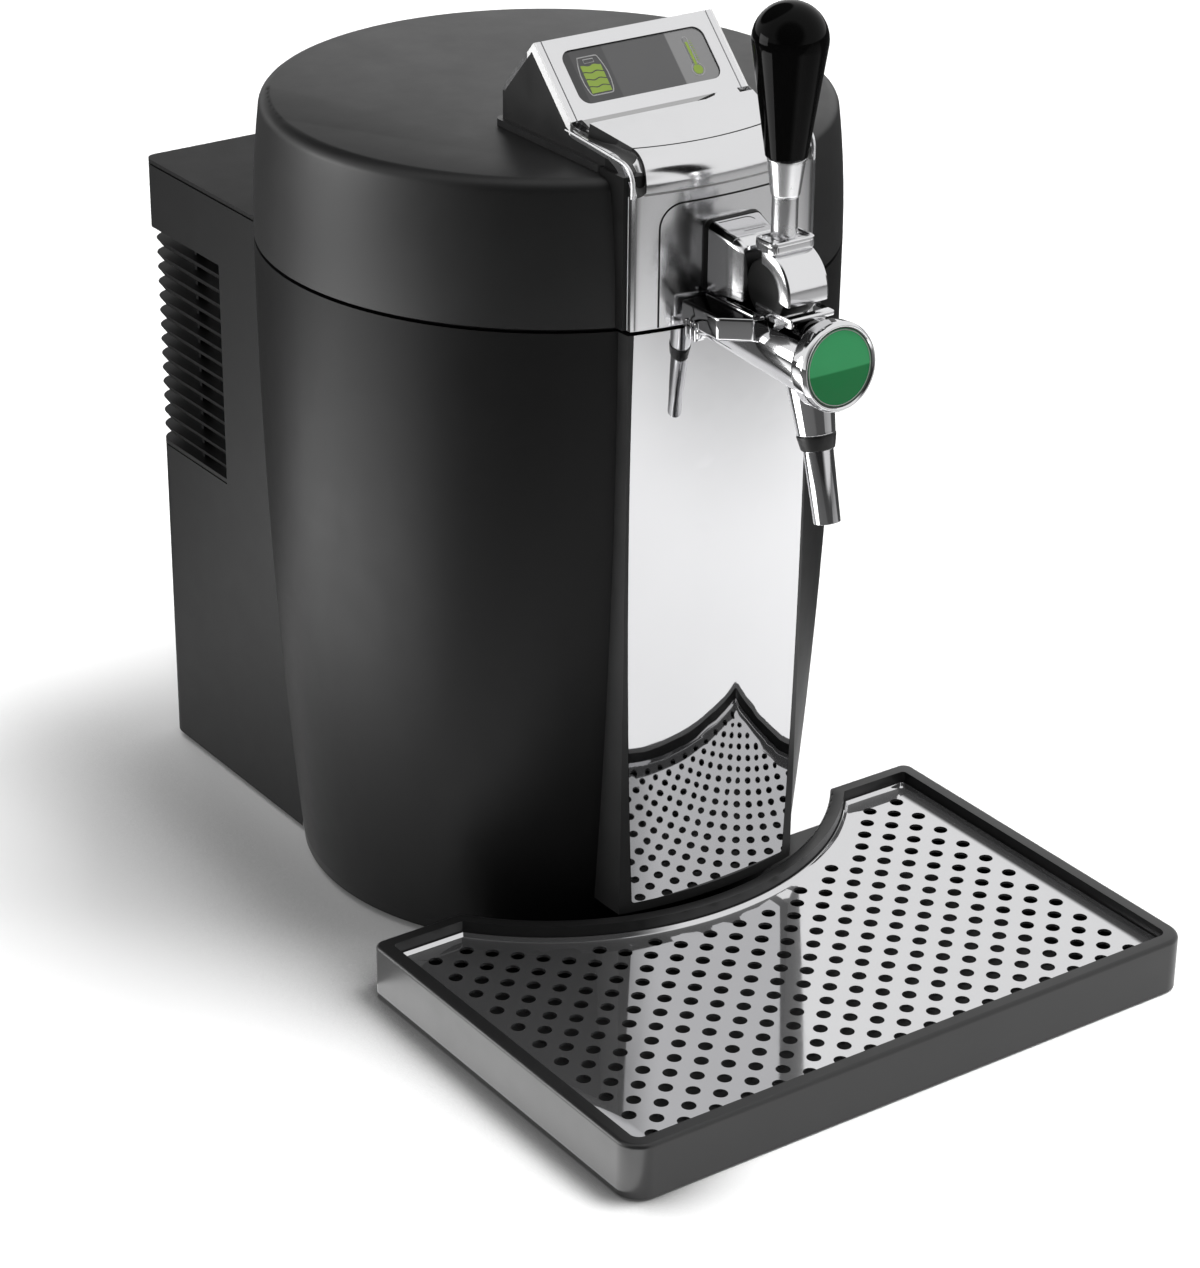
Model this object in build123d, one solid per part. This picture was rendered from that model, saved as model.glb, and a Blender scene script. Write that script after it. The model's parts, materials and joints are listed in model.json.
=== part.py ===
"""Mini keg beer dispenser: insulated drum with a hinged lid, a chrome head with display and lever tap,
a louvred cooling housing behind and a removable drip tray in front.

Millimetres, +Z up, the tap faces -Y. Every piece is built about the drum's axis (x = y = 0) with the
floor at z = 0. Export moves the whole object along Y, so that the origin is the middle of its footprint.
"""

from build123d import *
import os
from math import cos, radians, sin, sqrt, tan

# ---------------------------------------------------------------- driving dimensions
# clearances
SEAT_GAP = 0.3  # between pieces that move past each other
FIT_GAP = 0.2  # between fixed pieces that slot together
RUN_GAP = 0.05  # radial, pin in bore

# drum
DRUM_R = 127.5  # outside, at the lid seam
DRUM_TAPER = 13.5  # how much narrower it is at its foot
DRUM_WALL = 3.0
FOOT_H = 3.0
FOOT_R = 11.0
FOOT_X = 64.0
FOOT_Y = 70.0
BASE_T = 5.0
BODY_TOP = 295.5
SEAM_GAP = 1.7
# keg well
WELL_R = 89.0  # a 172 mm keg with room to lift it out
WELL_FLOOR = 38.0
CUP_WALL = 2.0
CUP_TOP_LAND = 3.3  # cup edge below the body top
RIM_T = 3.0
# lid
LID_H = 61.4
LID_LEAN = 3.5  # how much narrower it is at its shoulder
LID_EDGE_R = 5.5
LID_WALL = 3.0
LINER_T = 2.5
LINER_PLUG_R = 84.0
LINER_PLUG_H = 7.0
LINER_INSET = 0.5
GASKET_IN = 16.5  # gasket's middle inside the drum's edge
GASKET_W = 5.0
COUPLER_R = 13.0
COUPLER_DROP = 7.5  # below the body top
# lid hinge
HINGE_R = 4.5
HINGE_PIN_R = 2.5
HINGE_MID = 20.0  # half-length of the lid's knuckle
HINGE_END = 17.0  # length of each bracket's knuckle
HINGE_OFF = 1.6  # knuckle to drum
# rear housing
BOX_IN = 29.1  # side wall inside the drum's widest point
BOX_BEHIND = 57.2  # rear wall behind the drum
BOX_DROP = 0.8  # top below the body top
BOX_WALL = 2.5
BOX_CORNER = 12.0
CAP_H = 32.7
CAP_CORNER = 6.0
CAP_SEAM_DOWN = 1.6
CAP_SEAM = 1.0
VENT_H = 107.0
VENT_LEAD = 9.5  # louvres start ahead of the drum's back
SLAT_COUNT = 15
SLAT_T = 4.0
SLAT_SLOPE = 36.0  # degrees that a louvre's face leans in
SLAT_DEPTH = 9.0
SLAT_CORNER = 10.0
SLAT_INSET = 0.5
RIB_T = 2.0
SCREW_R = 3.2
SCREW_X = 84.0
# cooling train
PLATE_W = 50.0
PELTIER = 40.0
PELTIER_T = 4.0
SINK_W = 92.0
SINK_BASE = 5.0
SINK_DEPTH = 20.0
SINK_FINS = 13
SINK_FIN_T = 1.6
FAN_T = 20.0
FAN_R = 42.0
FAN_HUB_R = 17.0
FAN_BLADES = 7
# front panel
PANEL_R = 187.0  # radius of the panel's face in plan
PANEL_STAND = 4.0  # how far the face stands out from the drum
PANEL_HALF = 45.0
PANEL_T = 2.0
PANEL_DROP = 1.4  # how far the face leans in at its foot
PANEL_FOOT_HALF = 41.0
PANEL_TOP_HALF = 44.4
FRAME_LIP = 1.6
FRAME_FLARE = 0.5
FRAME_DEEP = 36.5
FRAME_LOW = 26.4
FRAME_BORDER = 4.6
# head; points are (behind the panel's face, above the lid's top)
HEAD_HALF = 46.0
DISPLAY_HALF = 44.9
BEZEL_HALF = 41.0
BEZEL_SEAM = 0.6
HEAD_SKIN = 2.6
DISPLAY_TOP_AT = (77.0, 40.4)
DISPLAY_LOW_AT = (50.8, 14.1)
HEAD_REAR_AT = (99.5, 16.0)
GROOVE_AT = (45.5, 12.0)
PLATE_TOP_AT = (42.1, 15.0)
PLATE_LOW_AT = (15.4, 9.4)
ROLL_MID_AT = (4.9, 3.9)
ROLL_FOOT = -4.1
PLATE_HALF_TOP = 41.0
PLATE_HALF_LOW = 36.0
ROLL_HALF = 40.0
SIDE_REAR_AT = (46.8, 10.6)  # side rims beside the plate
SIDE_FRONT_AT = (9.0, 8.4)
SIDE_ROLL_MID_AT = (2.2, 4.6)
SIDE_FOOT = -2.1
COVE_R = 3.0
FLANGE_T = 3.0
WINDOW_W = 71.0
WINDOW_H = 25.0
WINDOW_R = 5.0
LENS_T = 1.6
LENS_DEEP = 0.8
LCD_T = 4.0
BACKPLATE_HALF = 34.0
BACKPLATE_DOWN = 9.6
BACKPLATE_R = 10.0
# tap; RISE is above the barrel's axis and AHEAD is in front of the panel's face
BARREL_UP = 1.0  # barrel's axis above the body top
BARREL_R_REAR = 12.5
BARREL_R_FRONT = 15.8
BARREL_AHEAD = 62.5
BARREL_OFF = 1.2  # barrel end to panel face
TUBE_R = 3.5
TUBE_BORE = 4.2
TUBE_RISE = 8.5
TUBE_ARCH = 15.5
WING_HALF = 26.0
WING_RISE = 2.8
WING_H = 10.0
WING_LEN = 31.0
WING_NOSE = 40.0
TAIL_HALF = 9.0
TAIL_RISE = 3.7
BLOCK_RISE = 14.7
BLOCK_H_REAR = 28.8
BLOCK_H_FRONT = 23.3
BLOCK_HALF_REAR = 14.0
BLOCK_HALF_FRONT = 10.5
BLOCK_AHEAD = 21.5
BADGE_R = 18.5
BADGE_DISC_R = 15.2
BADGE_T = 10.0
BADGE_LIP = 1.2
BADGE_TILT = 6.0
SPOUT_TILT = 14.5
SPOUT_AHEAD = 53.5  # spout axis where it leaves the barrel
SPOUT_DROP = 12.5
CONE_LEN = 19.6
CONE_R = 9.6
CONE_R_LOW = 7.9
COLLAR_LEN = 6.2
COLLAR_R_LOW = 6.9
SPOUT_LEN = 56.4
SPOUT_R = 6.2
SPOUT_R_LOW = 5.5
SPOUT_WALL = 0.9
# lever; heights are above its pivot
PIVOT_AHEAD = 33.5
PIVOT_RISE = 23.5
LEVER_TURN = 45.0
LEVER_PIN_R = 2.0
BOSS_R = 5.8
BOSS_HALF = 6.1
LUG_T = 1.7
LUG_R = 4.6
HOOD_R = 17.3
HOOD_T = 2.8
HOOD_HALF = 10.4
HOOD_LOW_TURN = 8.0
CHEEK_T = 1.8
CHEEK_R = 11.0
CAP_UP = 20.6
STEM_R = 5.4
FERRULE_UP = 38.0
FERRULE_R_LOW = 5.9
FERRULE_R_TOP = 7.8
GRIP_UP = 53.5
GRIP_R_LOW = 8.6
GRIP_R = 15.3
GRIP_TOP_UP = 116.0
COLLAR_HALF = 12.8
COLLAR_AHEAD = 19.5  # of the pivot
COLLAR_BEHIND = 7.0
COLLAR_RISE = 6.5
COLLAR_DOWN = 6.5  # top below the pivot
PLUNGER_R = 4.0
PLUNGER_DOWN = 9.0
# drip tray
TRAY_WIDER = 20.1  # each side beyond the drum
TRAY_REACH = 148.4  # front edge ahead of the drum
TRAY_REAR = 83.3
TRAY_TOP = 25.9
TRAY_LOW = 0.8
TRAY_CORNER = 11.0
TRAY_REAR_CORNER = 5.0
TRAY_HUG_GAP = 4.5
TRAY_RIM = 6.6
TRAY_LEDGE = 3.0
TRAY_SKIN = 2.4
TRAY_FLOOR = 2.6
GRILLE_DEEP = 7.0  # grille face below the rim
GRILLE_T = 1.2
GRILLE_LIP = 2.0
GRILLE_LIP_T = 0.9
GRILLE_BEVEL = 1.3
HOLE_R = 3.2
HOLE_PITCH = 15.9
HOLE_SIDES = 6
HOLE_MARGIN = 8.0
TONGUE_X = 45.0
TONGUE_W = 18.0
TONGUE_T = 1.8
TONGUE_LEN = 32.0
# electrics
SWITCH_X = 62.0
INLET_X = -62.0
ELECTRIC_Z = 44.0
SOCKET_HALF = 13.5  # half-width of the inlet and of the switch's bezel
SOCKET_HALF_H = 9.8
MOUTH_HALF = 11.0
MOUTH_HALF_H = 7.2
ROCKER_HALF = 10.2
BOARD_OFF = 34.7  # circuit board to the rear wall
BOARD_T = 1.6
SUPPLY_HALF = 42.0
SUPPLY_DEPTH = 50.0
SUPPLY_H = 40.0

# ---------------------------------------------------------------- derived sizes
DRUM_BASE_R = DRUM_R - DRUM_TAPER
LID_SHOULDER_R = DRUM_R - LID_LEAN
GASKET_R = DRUM_R - GASKET_IN
BOX_HALF = DRUM_R - BOX_IN
BOX_REAR = DRUM_R + BOX_BEHIND
BOX_TOP = BODY_TOP - BOX_DROP
VENT_HIGH = BOX_TOP - CAP_H
VENT_LOW = VENT_HIGH - VENT_H
VENT_FRONT = DRUM_R - VENT_LEAD
COOL_Z = (VENT_LOW + VENT_HIGH) / 2
TRAY_HALF = DRUM_R + TRAY_WIDER
TRAY_FRONT = DRUM_R + TRAY_REACH
TRAY_HUG_R = DRUM_R + TRAY_HUG_GAP
AXIS_Y = (TRAY_FRONT - BOX_REAR) / 2
BASE_TOP = FOOT_H + BASE_T
LID_LOW = BODY_TOP + SEAM_GAP
LID_TOP = LID_LOW + LID_H
CUP_R = WELL_R + CUP_WALL
CUP_TOP = BODY_TOP - CUP_TOP_LAND
HINGE_Y = DRUM_R + HINGE_R + HINGE_OFF
HINGE_Z = BOX_TOP + HINGE_R + FIT_GAP
SLAT_PITCH = VENT_H / SLAT_COUNT
SINK_Y = DRUM_R + 1.5
FAN_Y = SINK_Y + SINK_DEPTH + FIT_GAP
PANEL_FRONT = DRUM_R + PANEL_STAND
PANEL_AXIS_Y = PANEL_R - PANEL_FRONT
HEAD_LOW = LID_LOW
BACKPLATE_TOP = LID_TOP - BACKPLATE_DOWN
BARREL_Z = BODY_TOP + BARREL_UP
BARREL_REAR = PANEL_FRONT + BARREL_OFF
BARREL_FRONT = PANEL_FRONT + BARREL_AHEAD
TAIL_LOW = BARREL_Z + TAIL_RISE
WING_LOW = BARREL_Z + WING_RISE
WING_HIGH = WING_LOW + WING_H
BLOCK_LOW = BARREL_Z + BLOCK_RISE
BLOCK_TOP_REAR = BLOCK_LOW + BLOCK_H_REAR
BLOCK_TOP_FRONT = BLOCK_LOW + BLOCK_H_FRONT
BLOCK_FRONT = PANEL_FRONT + BLOCK_AHEAD
SPOUT_Y = -PANEL_FRONT - SPOUT_AHEAD
SPOUT_Z = BARREL_Z - SPOUT_DROP
PIVOT_Y = -PANEL_FRONT - PIVOT_AHEAD
PIVOT_Z = BARREL_Z + PIVOT_RISE
CAP_TOP = PIVOT_Z + CAP_UP
FERRULE_LOW = PIVOT_Z + FERRULE_UP
GRIP_LOW = PIVOT_Z + GRIP_UP
GRIP_TOP = PIVOT_Z + GRIP_TOP_UP
COLLAR_FRONT = PIVOT_Y - COLLAR_AHEAD
COLLAR_REAR = PIVOT_Y + COLLAR_BEHIND
COLLAR_TOP = PIVOT_Z - COLLAR_DOWN
COLLAR_LOW = BARREL_Z + COLLAR_RISE
PLUNGER_TOP = PIVOT_Z - PLUNGER_DOWN
GRILLE_TOP = TRAY_TOP - GRILLE_DEEP
LEDGE_Z = GRILLE_TOP - GRILLE_T - SEAT_GAP
TONGUE_Z = FOOT_H + BASE_T / 2
LID_TILT_AXIS = Axis((0, HINGE_Y, HINGE_Z), (1, 0, 0))
# for cutters that pass beyond everything
FAR = TRAY_FRONT + 30
SKY = GRIP_TOP + 30


def head_point(place):
    """Y and Z of a point given behind the panel's face and above the lid's top."""
    return -PANEL_FRONT + place[0], LID_TOP + place[1]


DISPLAY_TOP = head_point(DISPLAY_TOP_AT)
DISPLAY_LOW = head_point(DISPLAY_LOW_AT)
HEAD_REAR_Y, HEAD_REAR_Z = head_point(HEAD_REAR_AT)
PLATE_TOP = head_point(PLATE_TOP_AT)
PLATE_LOW = head_point(PLATE_LOW_AT)

PARTS = {}


# ---------------------------------------------------------------- shape helpers
def block(x0, x1, y0, y1, z0, z1):
    """Box between two corners."""
    return Pos((x0 + x1) / 2, (y0 + y1) / 2, (z0 + z1) / 2) * Box(x1 - x0, y1 - y0, z1 - z0)


def outline_face(*runs):
    """Face inside runs of lines and arcs that close end to end."""
    return make_face([edge for run in runs for edge in run.edges()])


def turned(*edges):
    """Solid of revolution about Z from a closed r-z outline."""
    return revolve(Plane.XZ * outline_face(*edges), Axis.Z)


def turned_points(*points):
    """Solid of revolution about Z from straight r-z runs."""
    return turned(Polyline(*points, close=True))


def across(outline, half):
    """Y-Z outline pushed out to both sides of the middle plane."""
    return extrude(Plane.YZ * outline, amount=half, both=True)


def rod_x(y, z, radius, x0, x1):
    """Cylinder along X."""
    return Pos((x0 + x1) / 2, y, z) * Rot(0, 90, 0) * Cylinder(radius, x1 - x0)


def rod_y(x, z, radius, y0, y1):
    """Cylinder along Y."""
    return Pos(x, (y0 + y1) / 2, z) * Rot(90, 0, 0) * Cylinder(radius, y1 - y0)


def rod_z(x, y, radius, z0, z1):
    """Cylinder along Z."""
    return Pos(x, y, (z0 + z1) / 2) * Cylinder(radius, z1 - z0)


def both_sides(shape):
    """A shape and its mirror image in the middle plane."""
    return shape + mirror(shape, Plane.YZ)


# ---------------------------------------------------------------- drum
def drum_envelope(grow):
    """The drum's outside, swollen by grow, from the floor to the seam and straight on above it."""
    r_top, r_low = DRUM_R + grow, DRUM_BASE_R + grow
    side = TangentArc((r_top, BODY_TOP), (r_low, BASE_TOP), tangent=(0, -1))
    rest = Polyline((r_low, BASE_TOP), (r_low, -20), (0, -20), (0, SKY), (r_top, SKY), (r_top, BODY_TOP))
    return turned(side, rest)


def drum_core(shrink, low, high):
    """The drum's outside shrunk by a wall, cut off level below and above."""
    slab = Pos(0, 0, (low + high) / 2) * Cylinder(2 * DRUM_R, high - low)
    return drum_envelope(-shrink) & slab


def make_drum_shell():
    shell = drum_core(0, BASE_TOP, BODY_TOP) - drum_core(DRUM_WALL, 0, BODY_TOP + 50)
    window = PLATE_W / 2 + 4
    return shell - block(-window, window, DRUM_R / 2, DRUM_R + 10, COOL_Z - window, COOL_Z + window)


def make_base_plate():
    disc = Pos(0, 0, FOOT_H + BASE_T / 2) * Cylinder(DRUM_BASE_R - 0.5, BASE_T)
    inner = BOX_HALF - BOX_WALL - FIT_GAP
    rear = BOX_REAR - BOX_WALL - FIT_GAP
    tail = box_plan(BOX_WALL + FIT_GAP, BOX_CORNER - BOX_WALL, FOOT_H, BASE_TOP)
    plate = disc + (tail & block(-inner, inner, DRUM_R / 2, rear, FOOT_H, BASE_TOP))
    reach = TONGUE_LEN + TRAY_HUG_R
    for x in (-TONGUE_X, TONGUE_X):
        half = TONGUE_W / 2 + SEAT_GAP
        thick = TONGUE_T / 2 + SEAT_GAP
        plate -= block(x - half, x + half, -reach, -TRAY_REAR + 8, TONGUE_Z - thick, TONGUE_Z + thick)
    return plate


def foot_places():
    rear_x, rear_y = BOX_HALF - 2 * FOOT_R, BOX_REAR - 2 * FOOT_R
    return [(-FOOT_X, -FOOT_Y), (FOOT_X, -FOOT_Y), (-rear_x, rear_y), (rear_x, rear_y)]


def make_rubber_feet():
    feet = [Pos(x, y, FOOT_H / 2) * Cylinder(FOOT_R, FOOT_H) for x, y in foot_places()]
    feet = [chamfer(f.edges().group_by(Axis.Z)[0], 0.8) for f in feet]
    return Compound(children=feet)


def make_cooling_cup():
    floor_low = WELL_FLOOR - CUP_WALL
    return turned_points(
        (0, floor_low), (CUP_R, floor_low), (CUP_R, CUP_TOP), (WELL_R, CUP_TOP), (WELL_R, WELL_FLOOR), (0, WELL_FLOOR)
    )


def make_insulation():
    top = CUP_TOP - RIM_T - 1.0
    jacket = drum_core(DRUM_WALL + FIT_GAP, BASE_TOP + FIT_GAP, top)
    low = WELL_FLOOR - CUP_WALL - FIT_GAP
    jacket -= rod_z(0, 0, CUP_R + FIT_GAP, low, SKY)
    window = PLATE_W / 2 + FIT_GAP
    return jacket - block(-window, window, DRUM_R / 2, DRUM_R + 10, COOL_Z - window, COOL_Z + window)


def make_well_rim():
    inner = WELL_R - 1.5
    outer = DRUM_R - DRUM_WALL - FIT_GAP
    top_low = CUP_TOP + FIT_GAP
    skirt = CUP_R + FIT_GAP
    ring = turned_points(
        (inner, top_low), (inner, BODY_TOP), (outer, BODY_TOP), (outer, top_low),
        (skirt + 2, top_low), (skirt + 2, top_low - RIM_T), (skirt, top_low - RIM_T), (skirt, top_low),
    )
    groove = turned_points(
        (GASKET_R - GASKET_W, BODY_TOP + 1), (GASKET_R - GASKET_W, BODY_TOP - 1.0),
        (GASKET_R + GASKET_W, BODY_TOP - 1.0), (GASKET_R + GASKET_W, BODY_TOP + 1),
    )
    return ring - groove


# ---------------------------------------------------------------- front panel
def panel_sheet(inset, low, high):
    """Everything behind the panel's bowed face, which also leans in towards its foot."""
    radius = PANEL_R - inset
    face = TangentArc((radius, high), (radius - PANEL_DROP, BASE_TOP), tangent=(0, -1))
    rest = Polyline((radius - PANEL_DROP, BASE_TOP), (20, BASE_TOP), (20, high), (radius, high))
    body = Pos(0, PANEL_AXIS_Y, 0) * turned(face, rest)
    return body & block(-2 * PANEL_HALF, 2 * PANEL_HALF, -FAR, -PANEL_FRONT / 2, low, high)


def flared_prism(half, flare, low, high):
    """Plan outline that widens from the face back to the drum."""
    outline = Polyline(
        (-half, -PANEL_FRONT - 5), (half, -PANEL_FRONT - 5), (half + 0.1, -PANEL_FRONT + 4),
        (half + flare, -PANEL_FRONT + 16), (half + flare, -PANEL_FRONT + FRAME_DEEP),
        (-half - flare, -PANEL_FRONT + FRAME_DEEP),
        (-half - flare, -PANEL_FRONT + 16), (-half - 0.1, -PANEL_FRONT + 4), close=True,
    )
    return Pos(0, 0, low) * extrude(make_face(outline), amount=high - low)


def mirror_prism(grow):
    """Front outline of the mirror: a little wider in the middle, drawn in at the foot."""
    foot, middle = FRAME_LOW + FRAME_BORDER - grow, 0.55 * BODY_TOP
    top = BODY_TOP + max(grow, 0) * 4
    right = ThreePointArc((PANEL_FOOT_HALF + grow, foot), (PANEL_HALF + grow, middle), (PANEL_TOP_HALF + grow, top))
    left = ThreePointArc((-PANEL_FOOT_HALF - grow, foot), (-PANEL_HALF - grow, middle), (-PANEL_TOP_HALF - grow, top))
    low = Line((-PANEL_FOOT_HALF - grow, foot), (PANEL_FOOT_HALF + grow, foot))
    high = Line((-PANEL_TOP_HALF - grow, top), (PANEL_TOP_HALF + grow, top))
    outline = fillet(outline_face(low, right, high, left).vertices().group_by(Axis.Y)[0], 1.5)
    return extrude(Plane.XZ * outline, amount=FAR)


def make_front_panel_frame():
    frame = panel_sheet(0, FRAME_LOW, BODY_TOP)
    frame &= flared_prism(PANEL_HALF + FRAME_LIP, FRAME_FLARE, FRAME_LOW, BODY_TOP)
    frame -= drum_envelope(FIT_GAP)
    return frame - (mirror_prism(FIT_GAP) - panel_sheet(PANEL_T, 0, BODY_TOP))


def make_front_mirror_panel():
    sheet = panel_sheet(0, FRAME_LOW, BODY_TOP) - panel_sheet(PANEL_T, 0, BODY_TOP)
    return sheet & mirror_prism(0)


# ---------------------------------------------------------------- rear housing
def box_plan(inset, corner, low, high, front=20.0):
    """Prism of the housing's plan, rounded at the rear corners."""
    width = 2 * (BOX_HALF - inset)
    depth = BOX_REAR - inset - front
    return Pos(0, front + depth / 2, low) * extrude(RectangleRounded(width, depth, corner), amount=high - low)


def make_rear_housing():
    housing = box_plan(0, BOX_CORNER, FOOT_H, VENT_HIGH)
    housing -= box_plan(BOX_WALL, BOX_CORNER - BOX_WALL, FOOT_H - 1, VENT_HIGH + 1)
    cap = box_plan(0, CAP_CORNER, VENT_HIGH, BOX_TOP)
    housing += cap - box_plan(BOX_WALL, CAP_CORNER - BOX_WALL, VENT_HIGH - 1, BOX_TOP - BOX_WALL)
    housing -= drum_envelope(FIT_GAP)
    housing -= block(-FAR, FAR, VENT_FRONT, FAR, VENT_LOW, VENT_HIGH)
    # seam under the cap's top
    seam_high = BOX_TOP - CAP_SEAM_DOWN
    seam = box_plan(-1, CAP_CORNER + 1, seam_high - CAP_SEAM, seam_high)
    housing -= seam - box_plan(CAP_SEAM, CAP_CORNER - CAP_SEAM, seam_high - CAP_SEAM, seam_high, -FAR)
    # shelves that close the louvre bay above and below, and carry the grille
    for low, corner in ((VENT_LOW - BOX_WALL, BOX_CORNER), (VENT_HIGH, CAP_CORNER)):
        shelf = box_plan(0, corner, low, low + BOX_WALL, VENT_FRONT - 30)
        hole = box_plan(SLAT_DEPTH + 2, SLAT_CORNER, low - 1, low + BOX_WALL + 1, VENT_FRONT - 30)
        housing += shelf - hole - block(-FAR, FAR, 0, VENT_FRONT, low - 1, low + BOX_WALL + 1)
    half_x, half_z = SOCKET_HALF + FIT_GAP, SOCKET_HALF_H + FIT_GAP
    for x in (SWITCH_X, INLET_X):
        low, high = ELECTRIC_Z - half_z, ELECTRIC_Z + half_z
        housing -= block(x - half_x, x + half_x, BOX_REAR - 6, BOX_REAR + 6, low, high)
    for x, z in screw_places():
        housing -= rod_y(x, z, SCREW_R + 0.15, BOX_REAR - 8, BOX_REAR + 1)
    return housing


def screw_places():
    heights = (FOOT_H + 15, VENT_LOW - 15, BOX_TOP - CAP_H / 2)
    return [(x, z) for z in heights for x in (-SCREW_X, SCREW_X)]


def make_housing_screws():
    screws = []
    for x, z in screw_places():
        head = rod_y(x, z, SCREW_R, BOX_REAR - 1.8, BOX_REAR - 0.3)
        shank = rod_y(x, z, 1.6, BOX_REAR - 12, BOX_REAR - 1.8)
        slot = block(x - 2.2, x + 2.2, BOX_REAR - 1.0, BOX_REAR, z - 0.4, z + 0.4)
        screws.append(head + shank - slot)
    return Compound(children=screws)


def slat(high, thick, slope):
    """One louvre along one side, round the back and along the other side; its face leans in below."""
    width = 2 * (BOX_HALF - SLAT_INSET)
    depth = BOX_REAR - SLAT_INSET - 20
    plan = Pos(0, 20 + depth / 2) * RectangleRounded(width, depth, SLAT_CORNER)
    outer = Pos(0, 0, high) * extrude(plan, amount=-thick, taper=slope)
    inner = box_plan(SLAT_DEPTH, SLAT_CORNER - 6, high - thick - 1, high + 1)
    return outer - inner - block(-FAR, FAR, 0, VENT_FRONT + FIT_GAP, high - thick - 1, high + 1)


def make_louvre_grille():
    rib_low, rib_high = VENT_LOW + FIT_GAP, VENT_HIGH - FIT_GAP
    grille = slat(rib_low + RIB_T, RIB_T, 0)
    for n in range(1, SLAT_COUNT):
        grille += slat(VENT_LOW + n * SLAT_PITCH + SLAT_T / 2, SLAT_T, SLAT_SLOPE)
    # upright ribs on the inside tie the louvres into one moulding
    inner = SLAT_DEPTH - 0.1
    back = BOX_REAR - inner
    for x in (-60.0, -20.0, 20.0, 60.0):
        grille += block(x - RIB_T / 2, x + RIB_T / 2, back - 1, back + 4, rib_low, rib_high)
    side = BOX_HALF - inner
    for y in (VENT_FRONT + 3, VENT_FRONT + 30):
        rib = block(-side - 4, -side + 1, y - RIB_T / 2, y + RIB_T / 2, rib_low, rib_high)
        grille += both_sides(rib)
    return grille


# ---------------------------------------------------------------- cooling train
def make_cold_block():
    half = PLATE_W / 2
    body = block(-half, half, CUP_R / 2, SINK_Y - PELTIER_T, COOL_Z - half, COOL_Z + half)
    return body - rod_z(0, 0, CUP_R, 0, SKY)


def make_peltier():
    half = PELTIER / 2
    return block(-half, half, SINK_Y - PELTIER_T, SINK_Y, COOL_Z - half, COOL_Z + half)


def make_heat_sink():
    half = SINK_W / 2
    sink = block(-half, half, SINK_Y, SINK_Y + SINK_BASE, COOL_Z - half, COOL_Z + half)
    step = (SINK_W - SINK_FIN_T) / (SINK_FINS - 1)
    for n in range(SINK_FINS):
        x = -half + n * step
        sink += block(x, x + SINK_FIN_T, SINK_Y, SINK_Y + SINK_DEPTH, COOL_Z - half, COOL_Z + half)
    return sink


def make_fan_frame():
    half = SINK_W / 2
    frame = block(-half, half, FAN_Y, FAN_Y + FAN_T, COOL_Z - half, COOL_Z + half)
    frame -= rod_y(0, COOL_Z, FAN_R + 1.5, FAN_Y - 1, FAN_Y + FAN_T + 1)
    frame += rod_y(0, COOL_Z, FAN_HUB_R, FAN_Y, FAN_Y + 3)
    for turn in (45, 135, 225, 315):
        arm = block(FAN_HUB_R - 2, FAN_R + 3, FAN_Y, FAN_Y + 3, -2, 2)
        frame += Pos(0, 0, COOL_Z) * Rot(0, turn, 0) * arm
    frame += rod_y(0, COOL_Z, 2.0, FAN_Y, FAN_Y + FAN_T - 4)
    return frame


def make_fan_rotor():
    start = FAN_Y + 3 + SEAT_GAP
    end = FAN_Y + FAN_T - 1
    rotor = rod_y(0, 0, FAN_HUB_R, start, end)
    for n in range(FAN_BLADES):
        blade = Pos(0, (start + end) / 2, 0) * Rot(0, n * 360 / FAN_BLADES, 0)
        blade *= Pos((FAN_HUB_R + FAN_R) / 2 - 0.5, 0, 0) * Rot(35, 0, 0) * Box(FAN_R - FAN_HUB_R, 1.6, 19)
        rotor += blade
    rotor &= rod_y(0, 0, FAN_R, start, end)
    rotor -= rod_y(0, 0, 2.0 + RUN_GAP, start - 1, FAN_Y + FAN_T - 4 + SEAT_GAP)
    return Pos(0, 0, COOL_Z) * rotor


# ---------------------------------------------------------------- electrics
def make_control_board():
    y = BOX_REAR - BOARD_OFF
    board = block(-40, 40, y, y + BOARD_T, 60, 130)
    for x, z, w, h, d in ((-24, 112, 16, 12, 12), (0, 110, 12, 12, 14), (22, 112, 10, 16, 9), (-10, 80, 30, 18, 5)):
        board += block(x - w / 2, x + w / 2, y - d, y + 0.5, z - h / 2, z + h / 2)
    for x in (-36, 36):
        board += rod_y(x, 64, 2.5, y + 1.0, BOX_REAR - BOX_WALL)
    return board


def make_power_supply():
    rear = BOX_REAR - BOX_WALL - 10
    unit = block(-SUPPLY_HALF, SUPPLY_HALF, rear - SUPPLY_DEPTH, rear, BASE_TOP, BASE_TOP + SUPPLY_H)
    return fillet(unit.edges().filter_by(Axis.Z), 3)


def socket_case(x, depth):
    """Case in the rear wall with an open mouth."""
    z = ELECTRIC_Z
    rear = BOX_REAR - 0.4
    case = block(x - SOCKET_HALF, x + SOCKET_HALF, rear - depth, rear, z - SOCKET_HALF_H, z + SOCKET_HALF_H)
    floor = rear - depth + 3
    return case - block(x - MOUTH_HALF, x + MOUTH_HALF, floor, rear + 1, z - MOUTH_HALF_H, z + MOUTH_HALF_H)


def make_mains_inlet():
    body = socket_case(INLET_X, 23)
    for dx, dz in ((-6.5, -2), (6.5, -2), (0, 2.5)):
        x, z = INLET_X + dx, ELECTRIC_Z + dz
        body += block(x - 1, x + 1, BOX_REAR - 21, BOX_REAR - 4, z - 2, z + 2)
    return body


def make_switch_bezel():
    return socket_case(SWITCH_X, 18)


def switch_axis():
    return BOX_REAR - 7.0, ELECTRIC_Z


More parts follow.
